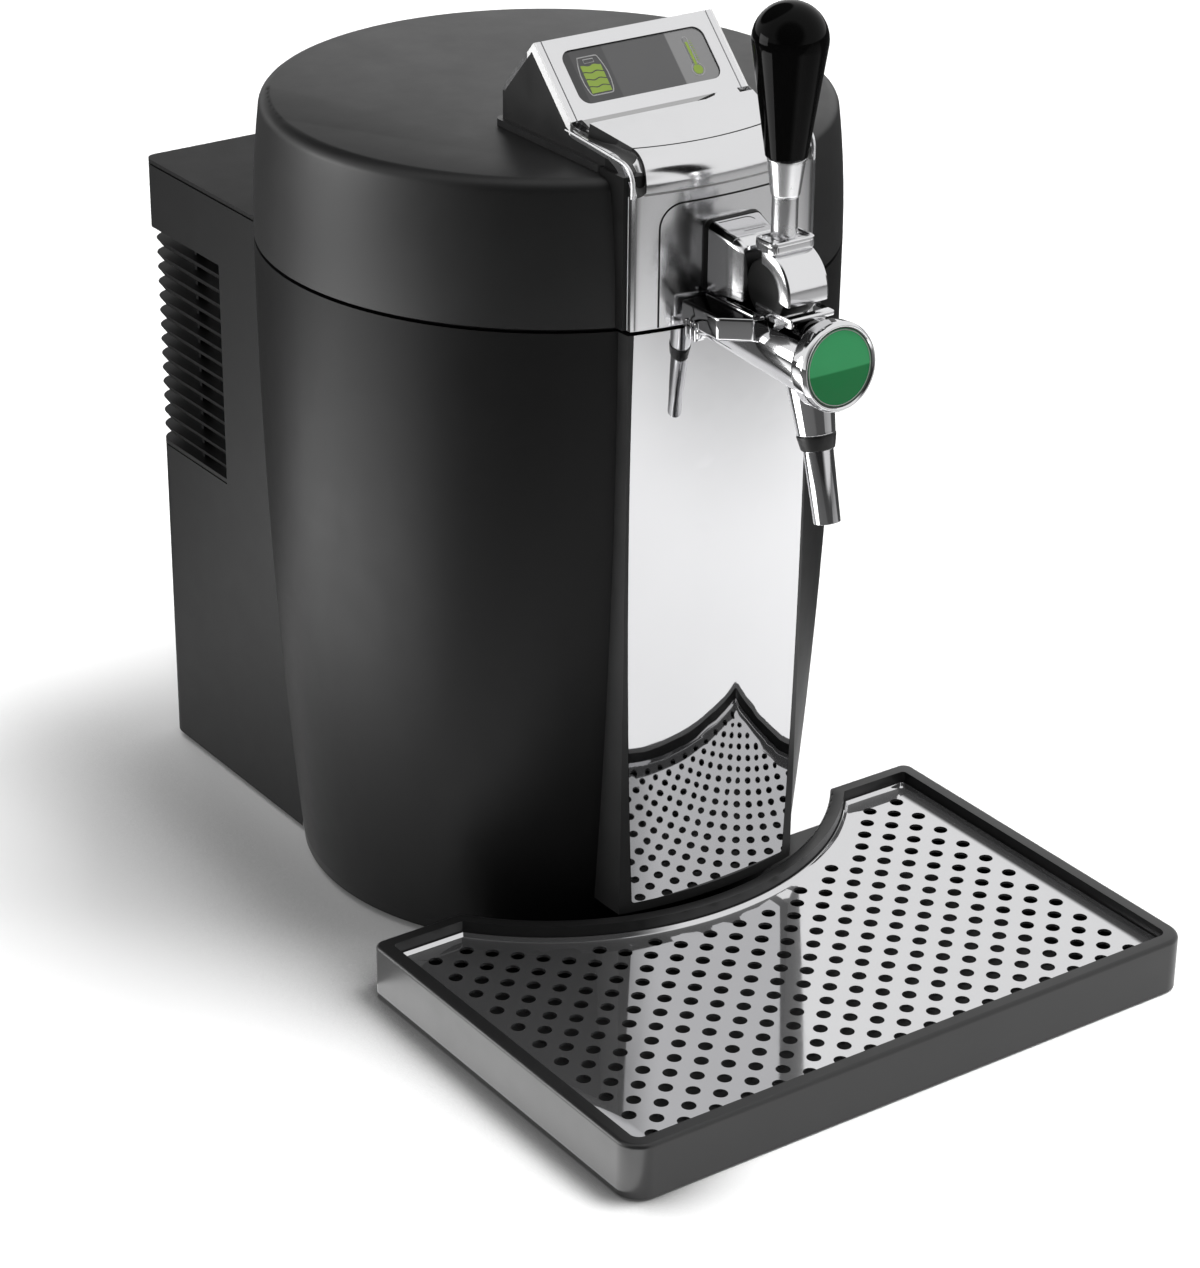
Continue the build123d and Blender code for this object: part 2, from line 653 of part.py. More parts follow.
def make_power_rocker():
    y, z = switch_axis()
    outline = Polyline((y - 3, z - 6.4), (y + 4.6, z - 6.4), (y + 4.2, z), (y + 5.6, z + 6.0), (y - 3, z + 6.4), close=True)
    rocker = Pos(SWITCH_X, 0, 0) * across(make_face(outline), ROCKER_HALF)
    rocker &= rod_x(y, z, 7.0, SWITCH_X - 12, SWITCH_X + 12)
    return rocker + rod_x(y, z, 1.5, SWITCH_X - ROCKER_HALF - 0.4, SWITCH_X + ROCKER_HALF + 0.4)


# ---------------------------------------------------------------- lid hinge
def make_hinge_brackets():
    start = HINGE_MID + SEAT_GAP
    knuckle = rod_x(HINGE_Y, HINGE_Z, HINGE_R, start, start + HINGE_END)
    foot = block(start, start + HINGE_END, HINGE_Y - 1, HINGE_Y + 18, BOX_TOP, BOX_TOP + 2.4)
    bracket = knuckle + foot + block(start, start + HINGE_END, HINGE_Y - 1, HINGE_Y + 3.5, BOX_TOP, HINGE_Z)
    bracket -= rod_x(HINGE_Y, HINGE_Z, HINGE_PIN_R, start - 1, start + HINGE_END + 1)
    return both_sides(bracket)


def make_hinge_pin():
    reach = HINGE_MID + SEAT_GAP + HINGE_END
    return rod_x(HINGE_Y, HINGE_Z, HINGE_PIN_R, -reach, reach)


def make_hinge_leaf():
    leaf = rod_x(HINGE_Y, HINGE_Z, HINGE_R, -HINGE_MID, HINGE_MID)
    leaf += block(-HINGE_MID, HINGE_MID, DRUM_R - 12, HINGE_Y, HINGE_Z, HINGE_Z + 3.5)
    wall = block(-HINGE_MID, HINGE_MID, DRUM_R - 12, HINGE_Y - 2, HINGE_Z, HINGE_Z + 26)
    leaf += wall & (lid_envelope(3.0) - lid_envelope(FIT_GAP / 2))
    leaf -= lid_envelope(FIT_GAP / 2)
    return leaf - rod_x(HINGE_Y, HINGE_Z, HINGE_PIN_R + RUN_GAP, -HINGE_MID - 1, HINGE_MID + 1)


# ---------------------------------------------------------------- lid
def lid_envelope(grow):
    """The lid's outside, swollen by grow: sides that lean in to a rounded shoulder."""
    r_low, r_high = DRUM_R + grow, LID_SHOULDER_R + grow
    shoulder = LID_TOP + grow - LID_EDGE_R
    side = TangentArc((r_low, LID_LOW), (r_high, shoulder), tangent=(0, 1))
    turn = side.tangent_at(1)
    edge = TangentArc((r_high, shoulder), (r_high - LID_EDGE_R, LID_TOP + grow), tangent=(turn.X, turn.Y))
    rest = Polyline((r_high - LID_EDGE_R, LID_TOP + grow), (0, LID_TOP + grow), (0, LID_LOW), (r_low, LID_LOW))
    return turned(side, edge, rest)


def make_lid_shell():
    inside = lid_envelope(-LID_WALL) + Pos(0, 0, LID_LOW) * Cylinder(DRUM_R - LID_WALL, 2)
    lid = lid_envelope(0) - inside
    half = HEAD_HALF + 1
    return lid - block(-half, half, -FAR, -LID_SHOULDER_R + LID_EDGE_R + 20, LID_LOW + 2.5, LID_TOP + 1)


def make_lid_liner():
    low = LID_LOW + LINER_INSET
    top = low + LINER_T
    outer = DRUM_R - LID_WALL - FIT_GAP - 0.4
    plug_low = low - LINER_PLUG_H
    liner = turned_points(
        (0, plug_low), (LINER_PLUG_R, plug_low), (LINER_PLUG_R + 1.5, low), (outer, low), (outer, top), (0, top)
    )
    return liner - rod_z(0, 0, COUPLER_R + FIT_GAP, low - 20, low + 20)


def make_lid_gasket():
    low = LID_LOW + LINER_INSET
    half = GASKET_W / 2
    return turned_points(
        (GASKET_R - half, low), (GASKET_R + half, low), (GASKET_R + half / 2, BODY_TOP + SEAT_GAP - 0.8),
        (GASKET_R - half / 2, BODY_TOP + SEAT_GAP - 0.8),
    )


def make_keg_coupler():
    low = BODY_TOP - COUPLER_DROP
    top = LID_LOW + LINER_INSET + LINER_T
    return turned_points(
        (TUBE_R + FIT_GAP, low), (COUPLER_R - 3, low), (COUPLER_R, low + 2), (COUPLER_R, top),
        (COUPLER_R + 6, top), (COUPLER_R + 6, top + 2), (TUBE_R + FIT_GAP, top + 2),
    )


# ---------------------------------------------------------------- head
def head_profile():
    """Side view of the head: raked display, groove and sloping plate, open to the front."""
    slope = (PLATE_TOP[1] - PLATE_LOW[1]) / (PLATE_TOP[0] - PLATE_LOW[0])
    reach = PLATE_LOW[0] - 40
    return make_face(Polyline(
        (reach, HEAD_LOW), (-PANEL_FRONT / 2, HEAD_LOW), (HEAD_REAR_Y, LID_TOP + 1), (HEAD_REAR_Y, HEAD_REAR_Z),
        DISPLAY_TOP, DISPLAY_LOW, head_point(GROOVE_AT), PLATE_TOP, (reach, PLATE_LOW[1] - 40 * slope), close=True,
    ))


def rolled_front(top_at, mid_at, foot):
    """Everything behind the bowed face, whose top edge rolls over."""
    top, mid = PANEL_R - top_at[0], PANEL_R - mid_at[0]
    roll = ThreePointArc((top, LID_TOP + top_at[1]), (mid, LID_TOP + mid_at[1]), (PANEL_R, LID_TOP + foot))
    rest = Polyline((PANEL_R, LID_TOP + foot), (PANEL_R, HEAD_LOW), (0, HEAD_LOW), (0, SKY), (top, SKY), roll @ 0)
    return Pos(0, PANEL_AXIS_Y, 0) * turned(roll, rest)


def mirrored_plan(*points):
    """Prism on a plan given by its right half, from front to back."""
    left = [(-x, y) for x, y in reversed(points)]
    return Pos(0, 0, HEAD_LOW - 20) * extrude(make_face(Polyline(*points, *left, close=True)), amount=SKY)


def side_rims():
    """The low rims on both sides of the plate, as everything under their top."""
    rear, front = head_point(SIDE_REAR_AT), head_point(SIDE_FRONT_AT)
    outline = Polyline(
        (-FAR, HEAD_LOW), (DISPLAY_LOW[0] + 3, HEAD_LOW), (DISPLAY_LOW[0] + 3, rear[1] + 3), rear, front,
        (-FAR, front[1]), close=True,
    )
    return across(make_face(outline), 2 * HEAD_HALF) & rolled_front(SIDE_FRONT_AT, SIDE_ROLL_MID_AT, SIDE_FOOT)


def cove():
    """Channel between the plate's side and the rim, which runs out on the front face."""
    rear, turn = head_point(SIDE_REAR_AT), head_point((14.0, 9.0))
    points = [
        (-DISPLAY_HALF + COVE_R, rear[0] + 4, rear[1] + 2.5),
        (-PLATE_HALF_LOW - COVE_R - 1.2, turn[0], turn[1]),
        (-ROLL_HALF - COVE_R + 1.0, turn[0] - 13.5, turn[1] - 13.5),
    ]
    path = FilletPolyline(*points, radius=9)
    channel = sweep(Plane(origin=path @ 0, z_dir=path % 0) * Circle(COVE_R), path=path)
    return channel + mirror(channel, Plane.YZ)


def head_solid(back, down):
    """The head's outside, moved back and down by a skin."""
    widening = head_point(SIDE_FRONT_AT)[0]
    plan = mirrored_plan((HEAD_HALF, -FAR), (HEAD_HALF, widening), (DISPLAY_HALF, DISPLAY_LOW[0]), (DISPLAY_HALF, 0))
    solid = across(head_profile(), 2 * HEAD_HALF) & plan & rolled_front(PLATE_LOW_AT, ROLL_MID_AT, ROLL_FOOT)
    edge = mirrored_plan(
        (ROLL_HALF, -FAR), (ROLL_HALF, -PANEL_FRONT + 3), (PLATE_HALF_LOW, PLATE_LOW[0]),
        (PLATE_HALF_TOP, DISPLAY_LOW[0] - 2), (2 * HEAD_HALF, DISPLAY_LOW[0] - 2), (2 * HEAD_HALF, 0),
    )
    solid = (solid & edge) + (solid & side_rims())
    return Pos(0, back, -down) * (solid - cove())


def display_plane():
    """Plane in the display's face: x across, y up the rake, z out of the face."""
    rise = Vector(0, DISPLAY_TOP[0] - DISPLAY_LOW[0], DISPLAY_TOP[1] - DISPLAY_LOW[1]).normalized()
    normal = Vector(1, 0, 0).cross(rise)
    middle = Vector(0, (DISPLAY_TOP[0] + DISPLAY_LOW[0]) / 2, (DISPLAY_TOP[1] + DISPLAY_LOW[1]) / 2)
    return Plane(origin=middle, x_dir=(1, 0, 0), z_dir=normal)


def display_slab(gap, top, low):
    """Rounded slab in the display window, between two depths below the face."""
    outline = RectangleRounded(WINDOW_W + 2 * gap, WINDOW_H + 2 * gap, WINDOW_R + gap)
    return display_plane() * Pos(0, 0, -low) * extrude(outline, amount=low - top)


def backplate_prism(gap):
    half = BACKPLATE_HALF + gap
    outline = Pos(0, (BACKPLATE_TOP + gap + HEAD_LOW - 30) / 2) * RectangleRounded(
        2 * half, BACKPLATE_TOP + gap - HEAD_LOW + 30, BACKPLATE_R + gap
    )
    return extrude(Plane.XZ * outline, amount=FAR)


def tap_passage(gap):
    """Room through the head for the tap's block and the barrel's tail."""
    half = TAIL_HALF + gap
    tail = block(-half, half, -BLOCK_FRONT, -PANEL_FRONT + 32, TAIL_LOW - gap, BLOCK_LOW + gap + 0.5)
    return block_solid(gap) + tail


def largest(shape):
    """The main solid of a shape, without the slivers that a cut has left."""
    return shape.solids().sort_by(SortBy.VOLUME)[-1]


def bezel_seams():
    """Fine seams between the display's bezel and the chrome at its sides."""
    rise = WINDOW_H + 30
    seam = display_plane() * Pos(BEZEL_HALF + BEZEL_SEAM / 2, 0, 0) * Box(BEZEL_SEAM, rise, 2 * BEZEL_SEAM)
    return both_sides(seam)


def make_head():
    outside = head_solid(0, 0)
    inside = head_solid(HEAD_SKIN, HEAD_SKIN) & head_solid(0, HEAD_SKIN)
    wide = 2 * HEAD_HALF
    cover = outside - inside
    cover -= block(-wide, wide, DISPLAY_TOP[0], 0, HEAD_LOW - 1, HEAD_REAR_Z - 1.0)
    filling = outside - cover - lid_envelope(FIT_GAP / 2) - tap_passage(FIT_GAP)
    # display housing, with a flange that lies on the lid
    split = -LID_SHOULDER_R + LID_EDGE_R + 12
    flange_rear = HEAD_REAR_Y + FLANGE_T
    flange = RectangleRounded(2 * (HEAD_HALF + FRAME_LIP), flange_rear - split, 4)
    flange = Pos(0, (flange_rear + split) / 2, LID_TOP + FIT_GAP / 2) * extrude(flange, amount=FLANGE_T)
    behind = block(-wide, wide, split, 0, LID_TOP, SKY)
    housing = (filling & behind) + (flange & behind) - cover
    housing -= display_slab(1.0, -5, LENS_DEEP + LENS_T + LCD_T + 2.0)
    # trim between the chrome and the lid: down both sides of the front, and across under the cover
    trim = flared_prism(HEAD_HALF + FRAME_LIP, FRAME_FLARE, HEAD_LOW, LID_TOP + FLANGE_T)
    trim &= Pos(0, PANEL_AXIS_Y, 0) * rod_z(0, 0, PANEL_R - HEAD_SKIN, 0, SKY)
    trim -= block(-wide, wide, -PANEL_FRONT - 30, -PANEL_FRONT + HEAD_SKIN, 0, SKY)
    trim += filling & block(-wide, wide, -FAR, split, HEAD_LOW, LID_TOP + SIDE_FRONT_AT[1] + 2)
    trim &= block(-wide, wide, -FAR, split, HEAD_LOW, SKY)
    trim -= cover + lid_envelope(FIT_GAP / 2) + backplate_prism(FIT_GAP)
    hollow = HEAD_HALF - 5
    trim -= block(-hollow, hollow, -LID_SHOULDER_R + LID_EDGE_R, 0, LID_LOW - 1, SKY)
    cover -= backplate_prism(FIT_GAP)
    cover -= display_slab(0, -5, HEAD_SKIN + 2) + bezel_seams()
    backplate = (outside - inside) & backplate_prism(0)
    PARTS["head_cover"] = largest(cover)
    PARTS["head_housing"] = largest(housing)
    PARTS["head_trim"] = largest(trim)
    PARTS["tap_backplate"] = largest(backplate - tap_passage(FIT_GAP))
    PARTS["display_lens"] = display_slab(-FIT_GAP, LENS_DEEP, LENS_DEEP + LENS_T)
    PARTS["display_module"] = display_slab(-2.0, LENS_DEEP + LENS_T, LENS_DEEP + LENS_T + LCD_T)
    board_top = LENS_DEEP + LENS_T + LCD_T
    PARTS["display_board"] = display_slab(0.6, board_top, board_top + BOARD_T)


# ---------------------------------------------------------------- tap
def block_solid(gap):
    """The upper block: deep at the head, lower and narrower towards the lever."""
    front = -BLOCK_FRONT - gap
    rear = -PANEL_FRONT + 8
    side = Polyline(
        (rear, BLOCK_LOW - gap), (rear, BLOCK_TOP_REAR + gap), (-PANEL_FRONT, BLOCK_TOP_REAR + gap),
        (front, BLOCK_TOP_FRONT + gap), (front, BLOCK_LOW - gap), close=True,
    )
    body = across(make_face(side), BLOCK_HALF_REAR + gap)
    rear_half, front_half = BLOCK_HALF_REAR + gap, BLOCK_HALF_FRONT + gap
    plan = Polyline(
        (-rear_half, rear), (-rear_half, -PANEL_FRONT), (-front_half, front),
        (front_half, front), (rear_half, -PANEL_FRONT), (rear_half, rear), close=True,
    )
    return body & extrude(make_face(plan), amount=SKY)


def make_tap_block():
    body = block_solid(0)
    shown = body.edges().filter_by(lambda e: e.center().Y < -PANEL_FRONT - 2 and e.center().Z > BLOCK_LOW + 5)
    body = fillet(shown, 1.4)
    # shallow recess in the top, with the joint of the tube cover across it
    rake = (BLOCK_TOP_REAR - BLOCK_TOP_FRONT) / (BLOCK_FRONT - PANEL_FRONT)
    tilt = Pos(0, -PANEL_FRONT - 9, BLOCK_TOP_REAR - 9 * rake)
    body -= tilt * Rot(-15, 0, 0) * Box(13, 9, 1.6)
    body -= block(-20, 20, -BLOCK_FRONT + 4, -BLOCK_FRONT + 4.5, BLOCK_LOW + 3, BLOCK_TOP_REAR + 1)
    return body


def tube_path():
    """The beer line: up from the keg, forward under the lid, down into the barrel and out of the spout."""
    tip = spout_point(SPOUT_LEN - 6)
    bend = spout_point(0)
    knee_y = bend.Y + (BARREL_Z - SPOUT_Z) * tan(radians(SPOUT_TILT))
    low, arch, high = BODY_TOP - COUPLER_DROP + 2, BARREL_Z + TUBE_ARCH, BARREL_Z + TUBE_RISE
    points = [(0, 0, low), (0, 0, arch), (0, -50, arch), (0, -PANEL_FRONT + 36.5, high), (0, -PANEL_FRONT - 3, high)]
    points += [(0, -PANEL_FRONT - 18, BARREL_Z), (0, knee_y, BARREL_Z), (0, tip.Y, tip.Z)]
    return FilletPolyline(*points, radius=[9, 40, 40, 14, 14, 6])


def swept_tube(radius):
    path = tube_path()
    return sweep(Plane(origin=path @ 0, z_dir=path % 0) * Circle(radius), path=path)


def spout_point(along):
    turn = radians(SPOUT_TILT)
    return Vector(0, SPOUT_Y - along * sin(turn), SPOUT_Z - along * cos(turn))


def spout_piece(start, end, r_start, r_end):
    """Round piece on the spout's axis."""
    turn = radians(SPOUT_TILT)
    plane = Plane(origin=spout_point(start), x_dir=(1, 0, 0), z_dir=(0, -sin(turn), -cos(turn)))
    outline = make_face(Polyline((0, 0), (r_start, 0), (r_end, end - start), (0, end - start), close=True))
    return plane * revolve(Plane.XZ * outline, Axis.Z)


def barrel_outline(r_rear, r_front):
    """The barrel's cone, cut off square to the tilted badge."""
    reach = BARREL_FRONT + 3
    slope = (r_front - r_rear) / (BARREL_FRONT - BARREL_REAR)
    end = r_front + 3 * slope
    outline = make_face(Polyline((0, BARREL_REAR), (r_rear, BARREL_REAR), (end, reach), (0, reach), close=True))
    cone = Pos(0, 0, BARREL_Z) * revolve(Rot(0, 0, 180) * outline, Axis.Y)
    return cone - badge_place() * block(-2 * r_front, 2 * r_front, -20, 0, -2 * r_front, 2 * r_front)


def badge_place():
    """The middle of the badge's back, whose -Y looks a little up."""
    return Pos(0, -BARREL_FRONT, BARREL_Z) * Rot(-BADGE_TILT, 0, 0)


def lever_sector(r_in, r_out, x0, x1, from_turn, to_turn):
    """Ring sector about the lever's pivot; 0 degrees points forward and 90 up."""
    ring = rod_x(PIVOT_Y, PIVOT_Z, r_out, x0, x1) - rod_x(PIVOT_Y, PIVOT_Z, r_in, x0 - 1, x1 + 1)
    reach = 60.0
    steps = 6
    points = [(PIVOT_Y, PIVOT_Z)]
    for n in range(steps + 1):
        turn = radians(from_turn + (to_turn - from_turn) * n / steps)
        points.append((PIVOT_Y - reach * cos(turn), PIVOT_Z + reach * sin(turn)))
    wedge = extrude(Plane.YZ.offset(x0 - 1) * make_face(Polyline(*points, close=True)), amount=x1 - x0 + 2)
    return ring & wedge


def make_tap_barrel():
    barrel = barrel_outline(BARREL_R_REAR, BARREL_R_FRONT)
    # shoulders that hold the disposable beer line, chamfered into the barrel
    start = BARREL_REAR
    wing = Polyline(
        (0, -start), (WING_HALF, -start), (WING_HALF, -start - WING_LEN), (BARREL_R_FRONT - 1, -start - WING_NOSE),
        (0, -start - WING_NOSE), close=True,
    )
    wing = Pos(0, 0, WING_LOW) * extrude(make_face(wing), amount=WING_HIGH - WING_LOW)
    wing = chamfer(wing.edges().filter_by(lambda e: e.center().X > 10 and e.center().Z > WING_HIGH - 0.1), 1.6)
    barrel += both_sides(wing)
    notch = block(WING_HALF - 3, WING_HALF + 1, -start - 14, -start - 10, WING_LOW - 1, WING_LOW + 4)
    barrel -= both_sides(notch)
    # tail through the head
    barrel += block(-TAIL_HALF, TAIL_HALF, -BARREL_REAR - 8, -PANEL_FRONT + 14, TAIL_LOW, BLOCK_LOW - FIT_GAP)
    # collar that the lever's hood sinks into
    collar = block(-COLLAR_HALF, COLLAR_HALF, COLLAR_FRONT, COLLAR_REAR, COLLAR_LOW, COLLAR_TOP)
    collar = fillet(collar.edges().filter_by(Axis.Z), 2.0)
    barrel += collar
    inner = BOSS_HALF + SEAT_GAP
    lug = block(inner, inner + LUG_T, PIVOT_Y - LUG_R, PIVOT_Y + LUG_R, COLLAR_TOP - 1, PIVOT_Z)
    lug += rod_x(PIVOT_Y, PIVOT_Z, LUG_R, inner, inner + LUG_T)
    barrel += both_sides(lug)
    barrel -= rod_x(PIVOT_Y, PIVOT_Z, LEVER_PIN_R, -20, 20)
    half = HOOD_HALF + SEAT_GAP + 0.1
    pocket = lever_sector(CHEEK_R - 0.6, HOOD_R + 0.5, -half, half, -HOOD_LOW_TURN - LEVER_TURN - 3, 5)
    barrel -= pocket
    barrel -= rod_z(0, PIVOT_Y, PLUNGER_R + RUN_GAP, BARREL_Z, COLLAR_TOP + 1)
    barrel -= swept_tube(TUBE_BORE)
    return barrel


def make_pinch_plunger():
    low = BARREL_Z + TUBE_R + SEAT_GAP
    return chamfer(rod_z(0, PIVOT_Y, PLUNGER_R, low, PLUNGER_TOP).edges().group_by(Axis.Z)[0], 1.0)


def make_badge():
    rim, disc = BADGE_R, BADGE_DISC_R + FIT_GAP
    outline = Polyline(
        (0, 0), (rim - 1.5, 0), (rim, 2), (rim, BADGE_T - 2), (rim - 1.6, BADGE_T), (disc + 0.6, BADGE_T),
        (disc, BADGE_T - BADGE_LIP), (disc, BADGE_T - 3.2), (0, BADGE_T - 3.2), close=True,
    )
    PARTS["badge_ring"] = badge_place() * revolve(Rot(0, 0, 180) * make_face(outline), Axis.Y)
    PARTS["badge_disc"] = badge_place() * rod_y(0, 0, BADGE_DISC_R, -BADGE_T + BADGE_LIP, -BADGE_T + 3.2)


def make_spout():
    cone = spout_piece(-4, CONE_LEN, CONE_R + 0.3, CONE_R_LOW)
    cone -= barrel_outline(BARREL_R_REAR, BARREL_R_FRONT)
    cone -= badge_place() * rod_y(0, 0, BADGE_R, -20, 0)
    cone -= spout_piece(-20, CONE_LEN - 8, TUBE_BORE, TUBE_BORE)
    cone -= spout_piece(CONE_LEN - 8, CONE_LEN + 1, SPOUT_R, SPOUT_R)
    collar = spout_piece(CONE_LEN, CONE_LEN + COLLAR_LEN, CONE_R_LOW + 0.2, COLLAR_R_LOW)
    collar -= spout_piece(CONE_LEN - 8, CONE_LEN + 50, SPOUT_R, SPOUT_R)
    tube = spout_piece(CONE_LEN - 8, CONE_LEN + COLLAR_LEN, SPOUT_R, SPOUT_R)
    tube += spout_piece(CONE_LEN + COLLAR_LEN, SPOUT_LEN, SPOUT_R, SPOUT_R_LOW)
    tube -= spout_piece(CONE_LEN - 20, SPOUT_LEN + 5, SPOUT_R_LOW - SPOUT_WALL, SPOUT_R_LOW - SPOUT_WALL)
    PARTS["spout_cone"] = cone
    PARTS["spout_collar"] = collar
    PARTS["spout_tube"] = tube


# ---------------------------------------------------------------- lever
def make_lever_yoke():
    yoke = rod_x(PIVOT_Y, PIVOT_Z, BOSS_R, -BOSS_HALF, BOSS_HALF)
    yoke += rod_z(0, PIVOT_Y, STEM_R - 0.2, PIVOT_Z, CAP_TOP)
    yoke += lever_sector(HOOD_R - HOOD_T, HOOD_R, -HOOD_HALF, HOOD_HALF, -HOOD_LOW_TURN, 96)
    cheek = lever_sector(CHEEK_R, HOOD_R - 0.5, HOOD_HALF - CHEEK_T, HOOD_HALF, -HOOD_LOW_TURN, 84)
    yoke += both_sides(cheek)
    cap_low = PIVOT_Z + HOOD_R - HOOD_T / 2
    cap = Pos(0, PIVOT_Y - 0.8, cap_low) * extrude(RectangleRounded(2 * HOOD_HALF + 0.8, 13.6, 3), amount=CAP_TOP - cap_low)
    yoke += cap
    return yoke - rod_x(PIVOT_Y, PIVOT_Z, LEVER_PIN_R + RUN_GAP, -20, 20)


def make_lever_pin():
    reach = BOSS_HALF + SEAT_GAP + LUG_T
    return rod_x(PIVOT_Y, PIVOT_Z, LEVER_PIN_R, -reach, reach)


def lever_round(*edges):
    return Pos(0, PIVOT_Y, 0) * turned(*edges)


def make_lever_rod():
    PARTS["lever_stem"] = rod_z(0, PIVOT_Y, STEM_R, CAP_TOP, FERRULE_LOW)
    ferrule = Polyline(
        (0, FERRULE_LOW), (FERRULE_R_LOW - 0.3, FERRULE_LOW), (FERRULE_R_LOW, FERRULE_LOW + 0.6),
        (FERRULE_R_TOP, GRIP_LOW - 1), (FERRULE_R_TOP, GRIP_LOW), (0, GRIP_LOW), close=True,
    )
    PARTS["lever_ferrule"] = lever_round(ferrule)
    ball = GRIP_TOP - GRIP_R
    lean = 0.17
    meet = (GRIP_R * cos(lean), ball - GRIP_R * sin(lean))
    side = Line((GRIP_R_LOW, GRIP_LOW + 0.8), meet)
    dome = ThreePointArc(meet, (GRIP_R * cos(0.6), ball + GRIP_R * sin(0.6)), (0, GRIP_TOP))
    foot = Polyline((0, GRIP_TOP), (0, GRIP_LOW), (GRIP_R_LOW - 0.8, GRIP_LOW), (GRIP_R_LOW, GRIP_LOW + 0.8))
    PARTS["lever_grip"] = lever_round(side, dome, foot)


# ---------------------------------------------------------------- drip tray
def tray_outline(inset):
    """The tray's plan, a margin inside its edge: a rectangle that hugs the drum with a hollow arc."""
    half = TRAY_HALF - inset
    front, rear = -TRAY_FRONT + inset, -TRAY_REAR - inset
    corner = max(TRAY_CORNER - inset, 2.0)
    rear_corner = max(TRAY_REAR_CORNER - inset, 2.0)
    plate = Pos(0, (front + rear) / 2) * Rectangle(2 * half, rear - front)
    plate = fillet(plate.vertices().group_by(Axis.Y)[0], corner)
    plate = fillet(plate.vertices().group_by(Axis.Y)[-1], rear_corner)
    return plate - Circle(TRAY_HUG_R + inset)


def tray_plan(inset, low, high):
    return Pos(0, 0, low) * extrude(tray_outline(inset), amount=high - low)


def make_drip_tray():
    tray = tray_plan(0, TRAY_LOW, TRAY_TOP)
    tray = fillet(tray.edges().group_by(Axis.Z)[-1], 2.0)
    basin_wall = TRAY_RIM + TRAY_LEDGE
    tray -= tray_plan(TRAY_RIM, LEDGE_Z, TRAY_TOP + 1)
    tray -= tray_plan(basin_wall, TRAY_LOW + TRAY_FLOOR, TRAY_TOP)
    hollow = tray_plan(TRAY_SKIN, TRAY_LOW - 1, LEDGE_Z - TRAY_SKIN)
    hollow -= tray_plan(basin_wall - TRAY_SKIN, TRAY_LOW - 2, TRAY_TOP)
    tray -= hollow
    low, high = TONGUE_Z - TONGUE_T / 2, TONGUE_Z + TONGUE_T / 2
    for x in (-TONGUE_X, TONGUE_X):
        root = -sqrt(TRAY_HUG_R**2 - TONGUE_X**2) - 1
        tray += block(x - TONGUE_W / 2, x + TONGUE_W / 2, root - 8, root + TONGUE_LEN, low, high)
    # shelf that closes the gap to the drum's foot
    sill = Circle(TRAY_HUG_R + 1) - Circle(DRUM_BASE_R + 2 * SEAT_GAP)
    sill &= Pos(0, -TRAY_FRONT / 2 - TRAY_REAR + 2) * Rectangle(3 * TRAY_HALF, TRAY_FRONT)
    return tray + Pos(0, 0, low) * extrude(sill, amount=TONGUE_T)


def hole_spots():
    """Staggered rows of holes that keep a margin to the grille's edges."""
    inset = TRAY_RIM + SEAT_GAP
    field_half = TRAY_HALF - inset - HOLE_MARGIN
    front = -TRAY_FRONT + inset + HOLE_MARGIN
    rear = -TRAY_REAR - inset - HOLE_MARGIN
    hug = TRAY_HUG_R + inset + HOLE_MARGIN
    half_step = HOLE_PITCH / 2
    columns = int(field_half // HOLE_PITCH) + 1
    spots = []
    for row in range(int((rear - front) // half_step) + 1):
        y = front + row * half_step
        for column in range(-columns, columns + 1):
            x = column * HOLE_PITCH + (row % 2) * half_step
            if abs(x) <= field_half and x * x + y * y >= hug * hug:
                spots.append((x, y))
    return spots


def make_drip_grille():
    inset = TRAY_RIM + SEAT_GAP
    border = inset + GRILLE_LIP_T + GRILLE_BEVEL
    low, face = GRILLE_TOP - GRILLE_T, GRILLE_TOP
    lip = tray_plan(inset, low, face + GRILLE_LIP) - tray_plan(border, low - 1, face + 0.01)
    dish = tray_plan(inset + GRILLE_LIP_T, face, face + GRILLE_LIP + 1)
    lip -= chamfer(dish.edges().group_by(Axis.Z)[0], GRILLE_BEVEL)
    hole = RegularPolygon(HOLE_R, HOLE_SIDES)
    holes = [(Pos(x, y) * hole).wire() for x, y in hole_spots()]
    plate = extrude(Face(tray_outline(border).face().outer_wire(), holes), amount=GRILLE_T)
    return lip + Pos(0, 0, low) * plate


